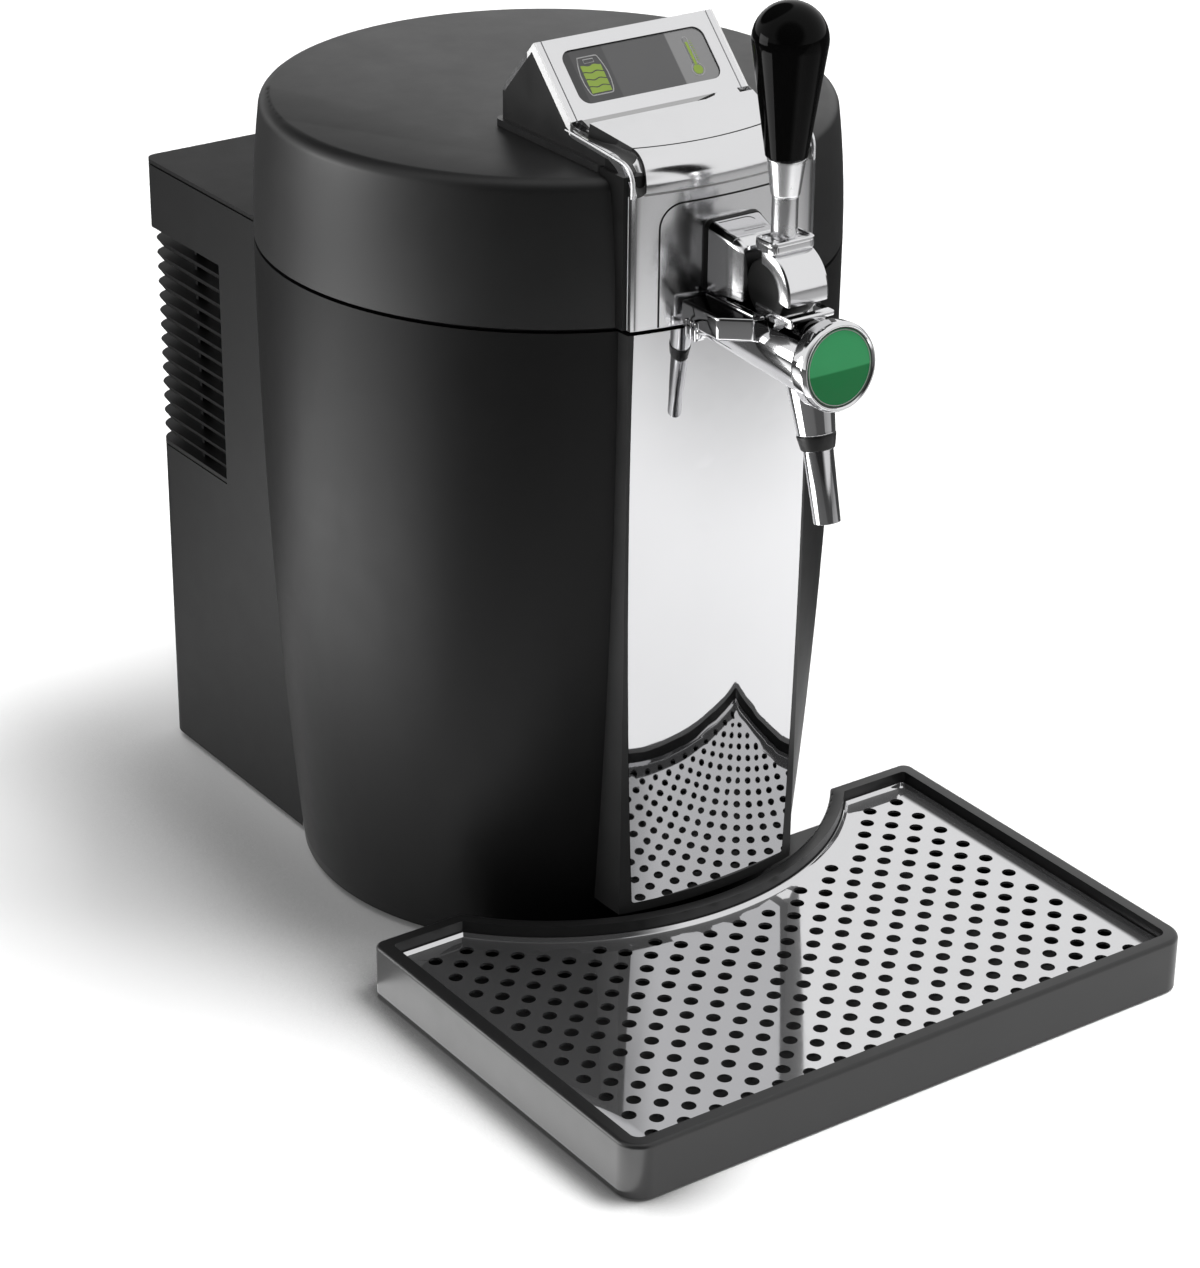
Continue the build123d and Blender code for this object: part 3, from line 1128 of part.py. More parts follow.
# ---------------------------------------------------------------- assembly
def build():
    PARTS["base_plate"] = make_base_plate()
    PARTS["rubber_feet"] = make_rubber_feet()
    PARTS["drum_shell"] = make_drum_shell()
    PARTS["cooling_cup"] = make_cooling_cup()
    PARTS["insulation_jacket"] = make_insulation()
    PARTS["well_rim"] = make_well_rim()
    PARTS["front_panel_frame"] = make_front_panel_frame()
    PARTS["front_mirror_panel"] = make_front_mirror_panel()
    PARTS["rear_housing"] = make_rear_housing()
    PARTS["housing_screws"] = make_housing_screws()
    PARTS["louvre_grille"] = make_louvre_grille()
    PARTS["cold_block"] = make_cold_block()
    PARTS["peltier_module"] = make_peltier()
    PARTS["heat_sink"] = make_heat_sink()
    PARTS["fan_frame"] = make_fan_frame()
    PARTS["fan_rotor"] = make_fan_rotor()
    PARTS["control_board"] = make_control_board()
    PARTS["power_supply"] = make_power_supply()
    PARTS["mains_inlet"] = make_mains_inlet()
    PARTS["switch_bezel"] = make_switch_bezel()
    PARTS["power_rocker"] = make_power_rocker()
    PARTS["hinge_brackets"] = make_hinge_brackets()
    PARTS["hinge_pin"] = make_hinge_pin()
    PARTS["hinge_leaf"] = make_hinge_leaf()
    PARTS["lid_shell"] = make_lid_shell()
    PARTS["lid_liner"] = make_lid_liner()
    PARTS["lid_gasket"] = make_lid_gasket()
    PARTS["keg_coupler"] = make_keg_coupler()
    make_head()
    PARTS["tap_block"] = make_tap_block()
    PARTS["tap_barrel"] = make_tap_barrel()
    PARTS["beer_line"] = swept_tube(TUBE_R)
    PARTS["pinch_plunger"] = make_pinch_plunger()
    make_badge()
    make_spout()
    PARTS["lever_yoke"] = make_lever_yoke()
    PARTS["lever_pin"] = make_lever_pin()
    make_lever_rod()
    PARTS["drip_tray"] = make_drip_tray()
    PARTS["drip_grille"] = make_drip_grille()


build()
os.makedirs("parts", exist_ok=True)
for node, shape in PARTS.items():
    export_step(Pos(0, AXIS_Y, 0) * shape, f"parts/{node}.step")
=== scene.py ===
import bpy
import bmesh
import json
import math
from mathutils import Matrix, Vector
from mathutils.geometry import delaunay_2d_cdt


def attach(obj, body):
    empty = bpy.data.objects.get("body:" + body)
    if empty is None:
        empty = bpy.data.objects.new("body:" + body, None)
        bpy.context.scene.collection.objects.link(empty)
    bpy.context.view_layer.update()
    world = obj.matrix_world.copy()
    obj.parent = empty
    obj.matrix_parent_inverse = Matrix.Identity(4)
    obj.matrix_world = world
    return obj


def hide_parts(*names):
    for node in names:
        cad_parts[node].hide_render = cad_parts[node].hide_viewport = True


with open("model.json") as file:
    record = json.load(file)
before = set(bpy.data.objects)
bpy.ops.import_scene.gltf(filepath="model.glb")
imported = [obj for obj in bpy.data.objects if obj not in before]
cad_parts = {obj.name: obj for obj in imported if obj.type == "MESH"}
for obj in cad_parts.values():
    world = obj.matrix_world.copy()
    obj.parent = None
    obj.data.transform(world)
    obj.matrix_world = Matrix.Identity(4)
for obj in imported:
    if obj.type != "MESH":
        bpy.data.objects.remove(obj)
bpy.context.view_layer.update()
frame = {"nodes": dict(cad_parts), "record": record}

NODES = frame["nodes"]
RECORD = frame["record"]
BODY_OF = {node: body for body, nodes in RECORD["behaviour"]["bodies"].items() for node in nodes}
SLOT_OF = {piece["node"]: piece["material_slot"] for piece in RECORD["subparts"]}
SHIFT = 0.0456  # the drum's axis lies this far behind the row's origin
MM = 1000  # millimetres in a metre
scene = bpy.context.scene


# ------------------------------------------------------------------ camera
# fitted to the photograph: yaw, pitch and roll, metres from the drum's axis, and pixels
CAMERA_ANGLES = (-35.24, 25.92, 0.57)
CAMERA_AT = (-0.8426, -1.2344, 0.8258)
FOCAL, LONG_SIDE = 3630.3, 1268
SENSOR = 36.0


def make_camera():
    """The photograph's camera."""
    yaw, pitch, roll = (math.radians(angle) for angle in CAMERA_ANGLES)
    back = Vector((math.sin(yaw) * math.cos(pitch), -math.cos(yaw) * math.cos(pitch), math.sin(pitch)))
    right = Vector((math.cos(yaw), math.sin(yaw), 0))
    up = back.cross(right)
    r = right * math.cos(roll) + up * math.sin(roll)
    u = up * math.cos(roll) - right * math.sin(roll)
    data = bpy.data.cameras.new("camera")
    data.sensor_fit = "AUTO"
    data.sensor_width = SENSOR
    data.lens = FOCAL / LONG_SIDE * SENSOR
    data.clip_start, data.clip_end = 0.05, 50
    cam = bpy.data.objects.new("camera", data)
    x, y, z = CAMERA_AT
    cam.matrix_world = Matrix((
        (r.x, u.x, back.x, x),
        (r.y, u.y, back.y, y + SHIFT),
        (r.z, u.z, back.z, z),
        (0, 0, 0, 1),
    ))
    scene.collection.objects.link(cam)
    scene.camera = cam


# ------------------------------------------------------------------ material nodes
def new_material(name):
    """A material, its node tree and its shader."""
    m = bpy.data.materials.new(name)
    m.use_nodes = True
    return m, m.node_tree, m.node_tree.nodes["Principled BSDF"]


def add(tree, kind, **values):
    """A node, with each value on the socket or the property of that name."""
    node = tree.nodes.new(kind)
    for key, value in values.items():
        if key in node.inputs:
            node.inputs[key].default_value = value
        else:
            setattr(node, key, value)
    return node


def coords(tree):
    """Place in the piece's own coordinates."""
    return add(tree, "ShaderNodeTexCoord").outputs["Object"]


def noise(tree, where, scale, detail=2.0, rough=0.5):
    """Smooth noise about 0.5."""
    n = add(tree, "ShaderNodeTexNoise", Scale=scale, Detail=detail, Roughness=rough)
    tree.links.new(where, n.inputs["Vector"])
    return n.outputs["Fac"]


def ramp(tree, value, low, high, start=0.0, end=1.0, smooth=True):
    """Goes from start to end as a value goes from low to high."""
    n = add(tree, "ShaderNodeMapRange", interpolation_type="SMOOTHSTEP" if smooth else "LINEAR")
    for name, setting in (("From Min", low), ("From Max", high), ("To Min", start), ("To Max", end)):
        n.inputs[name].default_value = setting
    tree.links.new(value, n.inputs["Value"])
    return n.outputs["Result"]


def spread(tree, fac, low, high):
    """Turns a noise, most of which lies between 0.3 and 0.7, into low to high."""
    return ramp(tree, fac, 0.3, 0.7, low, high, smooth=False)


def mix_color(tree, fac, a, b):
    """Blend of two colours."""
    n = add(tree, "ShaderNodeMix", data_type="RGBA")
    n.inputs["A"].default_value = (*a, 1)
    n.inputs["B"].default_value = (*b, 1)
    tree.links.new(fac, n.inputs["Factor"])
    return n.outputs["Result"]


def bump(tree, bsdf, height, strength, distance):
    """Fine relief on a shader's normal."""
    n = add(tree, "ShaderNodeBump", Strength=strength, Distance=distance)
    tree.links.new(height, n.inputs["Height"])
    tree.links.new(n.outputs["Normal"], bsdf.inputs["Normal"])


def calc(tree, operation, a, b=None):
    """Sum, product or the like of sockets and numbers."""
    n = add(tree, "ShaderNodeMath", operation=operation)
    for socket, value in zip(n.inputs, (a, b)):
        if isinstance(value, (int, float)):
            socket.default_value = value
        elif value is not None:
            tree.links.new(value, socket)
    return n.outputs[0]


def times(tree, first, *others):
    """Product of sockets and numbers."""
    for value in others:
        first = calc(tree, "MULTIPLY", first, value)
    return first


def inside(tree, value, low, high, soft):
    """1 where a value lies between two limits."""
    up = ramp(tree, value, low - soft, low + soft)
    return times(tree, up, ramp(tree, value, high - soft, high + soft, 1, 0))


def facing(tree, vector, direction):
    """How far a vector goes along a direction."""
    n = add(tree, "ShaderNodeVectorMath", operation="DOT_PRODUCT")
    n.inputs[1].default_value = Vector(direction).normalized()
    tree.links.new(vector, n.inputs[0])
    return n.outputs["Value"]


def split(tree):
    """X, Y from the drum's axis and Z, in millimetres."""
    sep = add(tree, "ShaderNodeSeparateXYZ")
    tree.links.new(coords(tree), sep.inputs["Vector"])
    y = calc(tree, "SUBTRACT", sep.outputs["Y"], SHIFT)
    return [times(tree, value, MM) for value in (sep.outputs["X"], y, sep.outputs["Z"])]


def into(tree, mask, socket, value):
    """Blends what feeds a socket towards a value where the mask is 1."""
    color = socket.type == "RGBA"
    n = add(tree, "ShaderNodeMix", data_type="RGBA" if color else "FLOAT")
    if socket.links:
        tree.links.new(socket.links[0].from_socket, n.inputs["A"])
    else:
        n.inputs["A"].default_value = socket.default_value
    n.inputs["B"].default_value = (*value, 1) if color else value
    tree.links.new(mask, n.inputs["Factor"])
    tree.links.new(n.outputs["Result"], socket)


# ------------------------------------------------------------------ materials
CHROME = (0.74, 0.74, 0.75)
BRUSH_STRETCH = (1, 40, 40)  # brush lines run along X


def grey(level):
    return (level, level, level)


def moulded(name, color, rough=0.4, specular=0.5, grain=2600.0, depth=0.00002, wobble=0.04, ior=1.5):
    """Moulded plastic: fine grain, and a slow change of sheen."""
    m, tree, bsdf = new_material(name)
    where = coords(tree)
    tone = noise(tree, where, 22.0, 3.0)
    darker, lighter = [c * 0.9 for c in color], [c * 1.12 for c in color]
    tree.links.new(mix_color(tree, tone, darker, lighter), bsdf.inputs["Base Color"])
    sheen = noise(tree, where, 60.0, 4.0, 0.6)
    tree.links.new(spread(tree, sheen, rough - wobble, rough + wobble), bsdf.inputs["Roughness"])
    bsdf.inputs["Specular IOR Level"].default_value = specular
    bsdf.inputs["IOR"].default_value = ior
    bump(tree, bsdf, noise(tree, where, grain), 0.25, depth)
    return m


def polished(name, color, rough, haze=0.02, metallic=1.0):
    """Polished or plated metal with a faint haze."""
    m, tree, bsdf = new_material(name)
    where = coords(tree)
    bsdf.inputs["Metallic"].default_value = metallic
    tone = noise(tree, where, 35.0, 3.0)
    tree.links.new(mix_color(tree, tone, [c * 0.97 for c in color], color), bsdf.inputs["Base Color"])
    sheen = noise(tree, where, 140.0, 5.0, 0.6)
    tree.links.new(spread(tree, sheen, rough - haze, rough + haze), bsdf.inputs["Roughness"])
    return m


def plating_with_painted_reflection(name, rough, toward, begin, full):
    """Plating with a painted dark reflection where its surface faces one way."""
    m = polished(name, CHROME, rough)
    tree = m.node_tree
    normal = add(tree, "ShaderNodeNewGeometry").outputs["Normal"]
    shade = ramp(tree, facing(tree, normal, toward), begin, full)
    # painted reflection: the base colour goes dark where the surface faces the given direction
    into(tree, shade, tree.nodes["Principled BSDF"].inputs["Base Color"], grey(0.012))
    return m


def brushed(name, color, rough):
    """Metal with fine parallel brush lines."""
    m, tree, bsdf = new_material(name)
    bsdf.inputs["Metallic"].default_value = 1.0
    mapping = add(tree, "ShaderNodeMapping", Scale=BRUSH_STRETCH)
    tree.links.new(coords(tree), mapping.inputs["Vector"])
    lines = noise(tree, mapping.outputs["Vector"], 60.0, 4.0, 0.7)
    tree.links.new(spread(tree, lines, rough * 0.7, rough * 1.3), bsdf.inputs["Roughness"])
    tree.links.new(mix_color(tree, lines, [c * 0.9 for c in color], color), bsdf.inputs["Base Color"])
    bump(tree, bsdf, lines, 0.1, 0.00002)
    return m


def head_chrome():
    """Plated head with painted shade, dark and matt, in the channels at its sides and a fine black joint over
    the roll.
    """
    m = polished("head_plating", CHROME, 0.16)
    tree = m.node_tree
    shader = tree.nodes["Principled BSDF"].inputs
    x, y, z = split(tree)
    across = calc(tree, "ABSOLUTE", x)
    # the channel starts at the plate's side, which runs in from the display to the roll, or at the roll's end
    plate_edge = ramp(tree, y, -81.0, -116.0, 40.6, 35.7, smooth=False)
    roll_edge = times(tree, inside(tree, y, -200, -116.6, 0.2), 39.4)
    past = calc(tree, "GREATER_THAN", across, calc(tree, "MAXIMUM", plate_edge, roll_edge))
    short = calc(tree, "LESS_THAN", across, 44.0)
    tall = inside(tree, z, 352.5, 374.5, 0.8)
    ahead = inside(tree, y, -200, -82.0, 0.3)
    # painted shade: the side channels are painted dark, matt and not metallic
    channel = times(tree, past, short, tall, ahead)
    # the joint is an arc about the front panel's axis
    out = calc(tree, "SUBTRACT", y, PANEL_AXIS_Y)
    radius = calc(tree, "SQRT", calc(tree, "ADD", times(tree, out, out), times(tree, x, x)))
    joint = times(tree, inside(tree, radius, 171.35, 171.85, 0.12), inside(tree, z, 364, 380, 0.5))
    dark = calc(tree, "MAXIMUM", channel, joint)
    # painted shade: the groove under the display is painted greyer, up to where it runs out at the right
    run_out = calc(tree, "ADD", times(tree, calc(tree, "ADD", y, 88.0), 3.09), 7.0)
    groove_shade = times(tree, inside(tree, y, -89.0, -81.0, 0.2), calc(tree, "LESS_THAN", x, run_out))
    groove_shade = times(tree, groove_shade, inside(tree, z, 368.0, 373.2, 0.2))
    into(tree, groove_shade, shader["Base Color"], grey(0.42))
    # the display's side rims are brushed
    rim = times(tree, calc(tree, "GREATER_THAN", across, 43.9), inside(tree, y, -81.0, -50.0, 0.3))
    for mask, level, rough in ((rim, 0.95, 0.55), (dark, 0.04, 0.5)):
        into(tree, mask, shader["Base Color"], grey(level))
        into(tree, mask, shader["Roughness"], rough)
    into(tree, dark, shader["Metallic"], 0.0)
    return m


def badge_material():
    """Enamel badge: lighter green above its middle."""
    m, tree, bsdf = new_material("badge_enamel")
    _, _, z = split(tree)
    upper = ramp(tree, z, BADGE_MID - 0.4, BADGE_MID + 0.4, smooth=False)
    green = mix_color(tree, upper, (0.004, 0.13, 0.035), (0.03, 0.25, 0.09))
    tree.links.new(green, bsdf.inputs["Base Color"])
    sheen = noise(tree, coords(tree), 150.0, 3.0)
    tree.links.new(spread(tree, sheen, 0.2, 0.26), bsdf.inputs["Roughness"])
    bsdf.inputs["Specular IOR Level"].default_value = 0.3
    return m


def lens_material():
    """Grey window, darker towards its left end and with a pale field at its right end."""
    m, tree, bsdf = new_material("display_window")
    x, _, _ = split(tree)
    color = bsdf.inputs["Base Color"]
    color.default_value = (0.075, 0.075, 0.076, 1)
    into(tree, inside(tree, x, -60, -14.6, 0.3), color, (0.055, 0.055, 0.056))
    into(tree, inside(tree, x, -60, -31.0, 0.3), color, (0.04, 0.04, 0.041))
    into(tree, inside(tree, x, 17.2, 60, 0.4), color, (0.17, 0.17, 0.171))
    sheen = noise(tree, coords(tree), 90.0, 4.0)
    tree.links.new(spread(tree, sheen, 0.1, 0.16), bsdf.inputs["Roughness"])
    bsdf.inputs["Specular IOR Level"].default_value = 0.25
    return m


def make_materials():
    """Every material, under its slot's name or a name of its own."""
    return {
        "charcoal_plastic": moulded("drum_satin", (0.003, 0.003, 0.0031), 0.45, wobble=0.02, ior=1.3),
        "lid_plastic": moulded("lid_satin", (0.005, 0.005, 0.0051), 0.45, wobble=0.02),
        "housing_plastic": moulded("housing_satin", (0.005, 0.005, 0.0051), 0.5, wobble=0.02, ior=1.32),
        "tray_plastic": moulded("tray_satin", (0.012, 0.012, 0.0122), 0.32),
        "trim_plastic": moulded("black_trim", grey(0.003), 0.35, 0.25),
        "frame_plastic": moulded("panel_surround", (0.012, 0.012, 0.0122), 0.35, 0.3),
        "chrome": polished("chrome_plating", CHROME, 0.045, 0.015),
        "mirror_steel": polished("mirror_face", (0.6, 0.6, 0.61), 0.02, 0.008),
        "grille_steel": polished("polished_steel", (0.66, 0.66, 0.67), 0.05, 0.015, metallic=0.94),
        "tube_steel": polished("tube_steel", (0.6, 0.6, 0.61), 0.1, 0.03),
        "grip_black": moulded("grip_gloss", grey(0.002), 0.06, 0.5, 900.0, 0.000002, 0.02, 1.15),
        "collar_black": moulded("collar_black", grey(0.006), 0.4, 0.4),
        "badge_green": badge_material(),
        "lens_grey": lens_material(),
        "display_grey": moulded("display_grey", grey(0.06), 0.5, 0.3),
        "circuit_board": moulded("circuit_board", (0.02, 0.12, 0.05), 0.5, 0.4),
        "foam_white": moulded("foam", (0.7, 0.69, 0.63), 0.9, 0.2, 700.0, 0.0002),
        "cup_aluminium": brushed("cup_aluminium", (0.7, 0.71, 0.72), 0.35),
        "sink_aluminium": brushed("sink_aluminium", (0.55, 0.56, 0.57), 0.45),
        "ceramic_white": moulded("ceramic", (0.8, 0.8, 0.78), 0.7, 0.3),
        "fan_black": moulded("fan_black", grey(0.008), 0.5, 0.4),
        "rubber_black": moulded("rubber", grey(0.01), 0.8, 0.3, 1500.0, 0.00006),
        "steel_pin": brushed("steel_pin", (0.6, 0.6, 0.61), 0.3),
        "liner_grey": moulded("liner_grey", (0.1, 0.1, 0.105), 0.5, 0.4),
        "hose_clear": moulded("hose", (0.6, 0.6, 0.56)),
        "head": head_chrome(),
        "satin_chrome": polished("satin_plating", CHROME, 0.16),
        "stem_plating": polished("stem_plating", (0.82, 0.82, 0.83), 0.26),
        "soft_chrome": polished("soft_plating", CHROME, 0.13),
        # the barrel's and the block's plating have a painted dark reflection where they face up and towards
        # -X
        "barrel_chrome_painted_reflection": plating_with_painted_reflection("barrel_plating_painted_reflection", 0.06, (-0.375, 0, 0.927), 0.892, 0.912),
        "block_chrome_painted_reflection": plating_with_painted_reflection("block_plating_painted_reflection", 0.14, (-0.707, 0, 0.707), 0.90, 0.93),
        # painted shade under the head's roll
        "crease_shade_grey": polished("crease_painted_shade", grey(0.34), 0.4),
        "rim_plating": polished("rim_plating", (0.9, 0.9, 0.91), 0.5),
        # painted shade in the head's side channels
        "channel_painted_shade": moulded("channel_painted_shade", grey(0.045), 0.6, 0.15),
        "icon_green": moulded("icon_green", (0.17, 0.24, 0.045), 0.5, 0.3),
        "icon_line": moulded("icon_line", grey(0.25), 0.5, 0.3),
        "icon_dark": moulded("icon_dark", grey(0.03), 0.5, 0.3),
    }


# nodes that look otherwise than their slot
OWN_LOOKS = {"head_cover": "head", "tap_backplate": "satin_chrome", "head_housing": "tray_plastic"}
SMOOTH_UNDER = math.radians(26)
WELD = 1e-6


def smooth_group():
    """Geometry nodes that shade a mesh smooth, except over sharp edges."""
    tree = bpy.data.node_groups.new("smooth_by_angle", "GeometryNodeTree")
    tree.interface.new_socket("Geometry", in_out="INPUT", socket_type="NodeSocketGeometry")
    tree.interface.new_socket("Geometry", in_out="OUTPUT", socket_type="NodeSocketGeometry")
    start, end = add(tree, "NodeGroupInput"), add(tree, "NodeGroupOutput")
    weld = add(tree, "GeometryNodeMergeByDistance", Distance=WELD)
    faces = add(tree, "GeometryNodeSetShadeSmooth", domain="FACE")
    edges = add(tree, "GeometryNodeSetShadeSmooth", domain="EDGE")
    angle = add(tree, "GeometryNodeInputMeshEdgeAngle")
    flat = add(tree, "FunctionNodeCompare", operation="LESS_THAN")
    flat.inputs["B"].default_value = SMOOTH_UNDER
    link = tree.links.new
    link(angle.outputs["Unsigned Angle"], flat.inputs["A"])
    link(start.outputs[0], weld.inputs["Geometry"])
    link(weld.outputs["Geometry"], faces.inputs["Geometry"])
    link(faces.outputs["Geometry"], edges.inputs["Geometry"])
    link(flat.outputs["Result"], edges.inputs["Shade Smooth"])
    link(edges.outputs["Geometry"], end.inputs[0])
    return tree


def finished(obj, mat):
    """Gives a piece its material and its shading."""
    obj.data.materials.clear()
    obj.data.materials.append(MATS[mat])
    obj.modifiers.new("smooth", "NODES").node_group = SMOOTH


def dress_nodes():
    """Looks of the frame's own pieces."""
    for name, obj in NODES.items():
        finished(obj, OWN_LOOKS.get(name, SLOT_OF[name]))


# ------------------------------------------------------------------ shapes
# each is (points, faces), in mm from the drum's axis
def solid_object(name, points, faces):
    """A mesh in the scene, welded and with its normals outward."""
    mesh = bpy.data.meshes.new(name)
    mesh.from_pydata([(x / MM, y / MM + SHIFT, z / MM) for x, y, z in points], [], faces)
    work = bmesh.new()
    work.from_mesh(mesh)
    bmesh.ops.remove_doubles(work, verts=work.verts, dist=1e-7)
    bmesh.ops.recalc_face_normals(work, faces=work.faces)
    work.to_mesh(mesh)
    work.free()
    obj = bpy.data.objects.new(name, mesh)
    scene.collection.objects.link(obj)
    return obj


def carve(obj, shape):
    """Cuts a closed shape out of an object for good."""
    cutter = solid_object("cutter", *shape)
    cut = obj.modifiers.new("cut", "BOOLEAN")
    cut.object, cut.operation, cut.solver, cut.use_self = cutter, "DIFFERENCE", "EXACT", True
    bpy.context.view_layer.update()
    done = bpy.data.meshes.new_from_object(obj.evaluated_get(bpy.context.evaluated_depsgraph_get()))
    obj.modifiers.remove(cut)
    obj.data = done
    bpy.data.objects.remove(cutter)


def piece(name, shape, mat, node, hides=True, pocket=None):
    """A mesh that moves with a node, and as a rule takes its place."""
    obj = solid_object(name, *shape)
    if pocket:
        carve(obj, pocket)
    finished(obj, mat)
    if hides:
        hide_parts(node)
    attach(obj, BODY_OF[node])


def overlay(name, shape, mat, node):
    """A mesh that lies on a node and leaves it there."""
    piece(name, shape, mat, node, hides=False)


def blend(a, b, t):
    return a + (b - a) * t


def ease(t):
    """Smooth step from 0 to 1."""
    t = min(max(t, 0.0), 1.0)
    return t * t * (3 - 2 * t)


def spaced(start, end, count):
    """Evenly spaced numbers, both ends included."""
    return [start + (end - start) * k / (count - 1) for k in range(count)]


def bezier(t, handles):
    """Point of a cubic curve."""
    weights = [(1 - t) ** 3, 3 * t * (1 - t) ** 2, 3 * t * t * (1 - t), t**3]
    return tuple(sum(w * p[i] for w, p in zip(weights, handles)) for i in (0, 1))


def arc(cx, cy, radius, start, end, steps, tall=None):
    """Points between two angles in degrees, on a circle or on an ellipse with another half-height."""
    turns = [math.radians(start + (end - start) * k / steps) for k in range(steps + 1)]
    return [(cx + radius * math.cos(t), cy + (tall or radius) * math.sin(t)) for t in turns]


def rectangle(x0, x1, y0, y1):
    return [(x0, y0), (x1, y0), (x1, y1), (x0, y1)]


def corners(x0, x1, y0, y1, radius, steps=6):
    """Rectangle with round corners."""
    left, right, low, high = x0 + radius, x1 - radius, y0 + radius, y1 - radius
    out = []
    for cx, cy, start in ((right, high, 0), (left, high, 90), (left, low, 180), (right, low, 270)):
        out += arc(cx, cy, radius, start, start + 90, steps)
    return out


def rounded(points, radius, steps=5):
    """The same line with its inner corners rounded."""
    out = [Vector(points[0])]
    for a, b, c in zip(points, points[1:], points[2:]):
        a, b, c = Vector(a), Vector(b), Vector(c)
        r = min(radius, (a - b).length * 0.45, (c - b).length * 0.45)
        start, end = b + (a - b).normalized() * r, b + (c - b).normalized() * r
        for k in range(steps + 1):
            t = k / steps
            out.append(start * (1 - t) ** 2 + b * (2 * t * (1 - t)) + end * t * t)
    return out + [Vector(points[-1])]


def placer(origin, along, up):
    """Turns (across, up, along) into a point."""
    o, d, u = Vector(origin), Vector(along), Vector(up)
    return lambda x, y, z: tuple(o + Vector((1, 0, 0)) * x + u * y + d * z)


def upright(y):
    """Places a turned shape about a vertical axis."""
    return placer((0, y, 0), (0, 0, 1), (0, 1, 0))


def quads(rows, count, ring=True, loop=False):
    """Faces between rows of points; ring closes each row, and loop joins the last row to the first."""
    faces = []
    for i in range(rows if loop else rows - 1):
        j = (i + 1) % rows
        for k in range(count if ring else count - 1):
            m = (k + 1) % count
            faces.append((i * count + k, i * count + m, j * count + m, j * count + k))
    return faces


def lofted(rings, capped=False):
    """Skin through closed sections."""
    n = len(rings[0])
    faces = quads(len(rings), n)
    if capped:
        faces += [tuple(range(n)), tuple(range((len(rings) - 1) * n, len(rings) * n))]
    return [p for ring in rings for p in ring], faces


def sheet(rows):
    """Open surface through rows of points."""
    return [p for row in rows for p in row], quads(len(rows), len(rows[0]), ring=False)


def turned(profile, place, segments=112):
    """A turned shape; the profile is (radius, along)."""
    turns = [2 * math.pi * k / segments for k in range(segments)]
    return lofted([[place(r * math.cos(t), r * math.sin(t), h) for t in turns] for r, h in profile])


def lathe(name, profile, place, mat, node, round_off=0.5):
    """A turned piece with rounded edges."""
    piece(name, turned(rounded(profile, round_off), place), mat, node)


def prism(outline, low, high, size, steps=3):
    """Upright prism on a plan, with its edges rounded."""
    work = bmesh.new()
    face = work.faces.new([work.verts.new((x, y, low)) for x, y in outline])
    grown = bmesh.ops.extrude_face_region(work, geom=[face])
    tops = [v for v in grown["geom"] if isinstance(v, bmesh.types.BMVert)]
    bmesh.ops.translate(work, verts=tops, vec=(0, 0, high - low))
    bmesh.ops.recalc_face_normals(work, faces=work.faces)
    bmesh.ops.bevel(work, geom=work.edges[:], offset=size, segments=steps, affect="EDGES", profile=0.5)
    work.verts.index_update()
    points = [tuple(v.co) for v in work.verts]
    faces = [tuple(v.index for v in f.verts) for f in work.faces]
    work.free()
    return points, faces


def ring_prism(outer, inner, low, high, round_off=0.4):
    """Upright frame between two plans with as many points."""
    walls = [[(x, y, z) for x, y in plan] for plan, z in (
        (outer, low), (outer, high - round_off), (inner, high - round_off), (inner, low))]
    pairs = list(zip(outer, inner))
    crest = [[(blend(x, a, t), blend(y, b, t), high) for (x, y), (a, b) in pairs] for t in (0.25, 0.75)]
    loops = walls[:2] + crest + walls[2:]
    return [p for loop in loops for p in loop], quads(len(loops), len(outer), loop=True)


def ribbon(path, width, lift, normal_at):
    """A thin flat strip along a line of points, raised off its surface."""
    rows = []
    for i, p in enumerate(path):
        before, after = Vector(path[max(i - 1, 0)]), Vector(path[min(i + 1, len(path) - 1)])
        n = normal_at(p)
        side = (after - before).normalized().cross(n).normalized() * width / 2
        offsets = ((side, 0.0), (side * 0.8, lift), (-side * 0.8, lift), (-side, 0.0))
        rows.append([tuple(Vector(p) + offset + n * up) for offset, up in offsets])
    return sheet(rows)


def joined(*shapes):
    """Several shapes as one."""
    points, faces = [], []
    for more, rings in shapes:
        base = len(points)
        points += more
        faces += [tuple(base + i for i in ring) for ring in rings]
    return points, faces


def flipped(shape):
    """The same shape on the other side of the middle."""
    points, faces = shape
    return [(-x, y, z) for x, y, z in points], [tuple(reversed(f)) for f in faces]


# ------------------------------------------------------------------ tap and lever
BARREL_Z, BARREL_REAR = 296.5, -132.7
BADGE_Y, BADGE_TILT = -194.0, math.radians(6)
BADGE_MID = 296.2
PIVOT_Y, PIVOT_Z = -165.0, 320.0
SPOUT, SPOUT_TILT = (0, -185.0, 284.0), math.radians(14.5)
STEM_FOOT = 340.6
GRIP_TOP, GRIP_R, GRIP_LEAN = 436.0, 15.25, 0.17
HOOD_HALF, HOOD_IN, HOOD_OUT = 10.35, 11.0, 17.25
POCKET_HALF, POCKET_IN, POCKET_OUT = 10.75, 10.4, 17.8


def sector(section, start, end, steps=56):
    """A closed (x, radius) section swept about the lever's pivot; 0 degrees points forward and 90 up."""
    rings = []
    for k in range(steps + 1):
        t = math.radians(start + (end - start) * k / steps)
        rings.append([(x, PIVOT_Y - r * math.cos(t), PIVOT_Z + r * math.sin(t)) for x, r in section])
    return lofted(rings, capped=True)


def pivot_disc(radius, half):
    """A disc about the lever's pivot."""
    profile = [(0, -half), (radius, -half), (radius, half), (0, half)]
    return turned(rounded(profile, 0.5), lambda x, y, z: (z, PIVOT_Y + x, PIVOT_Z + y))


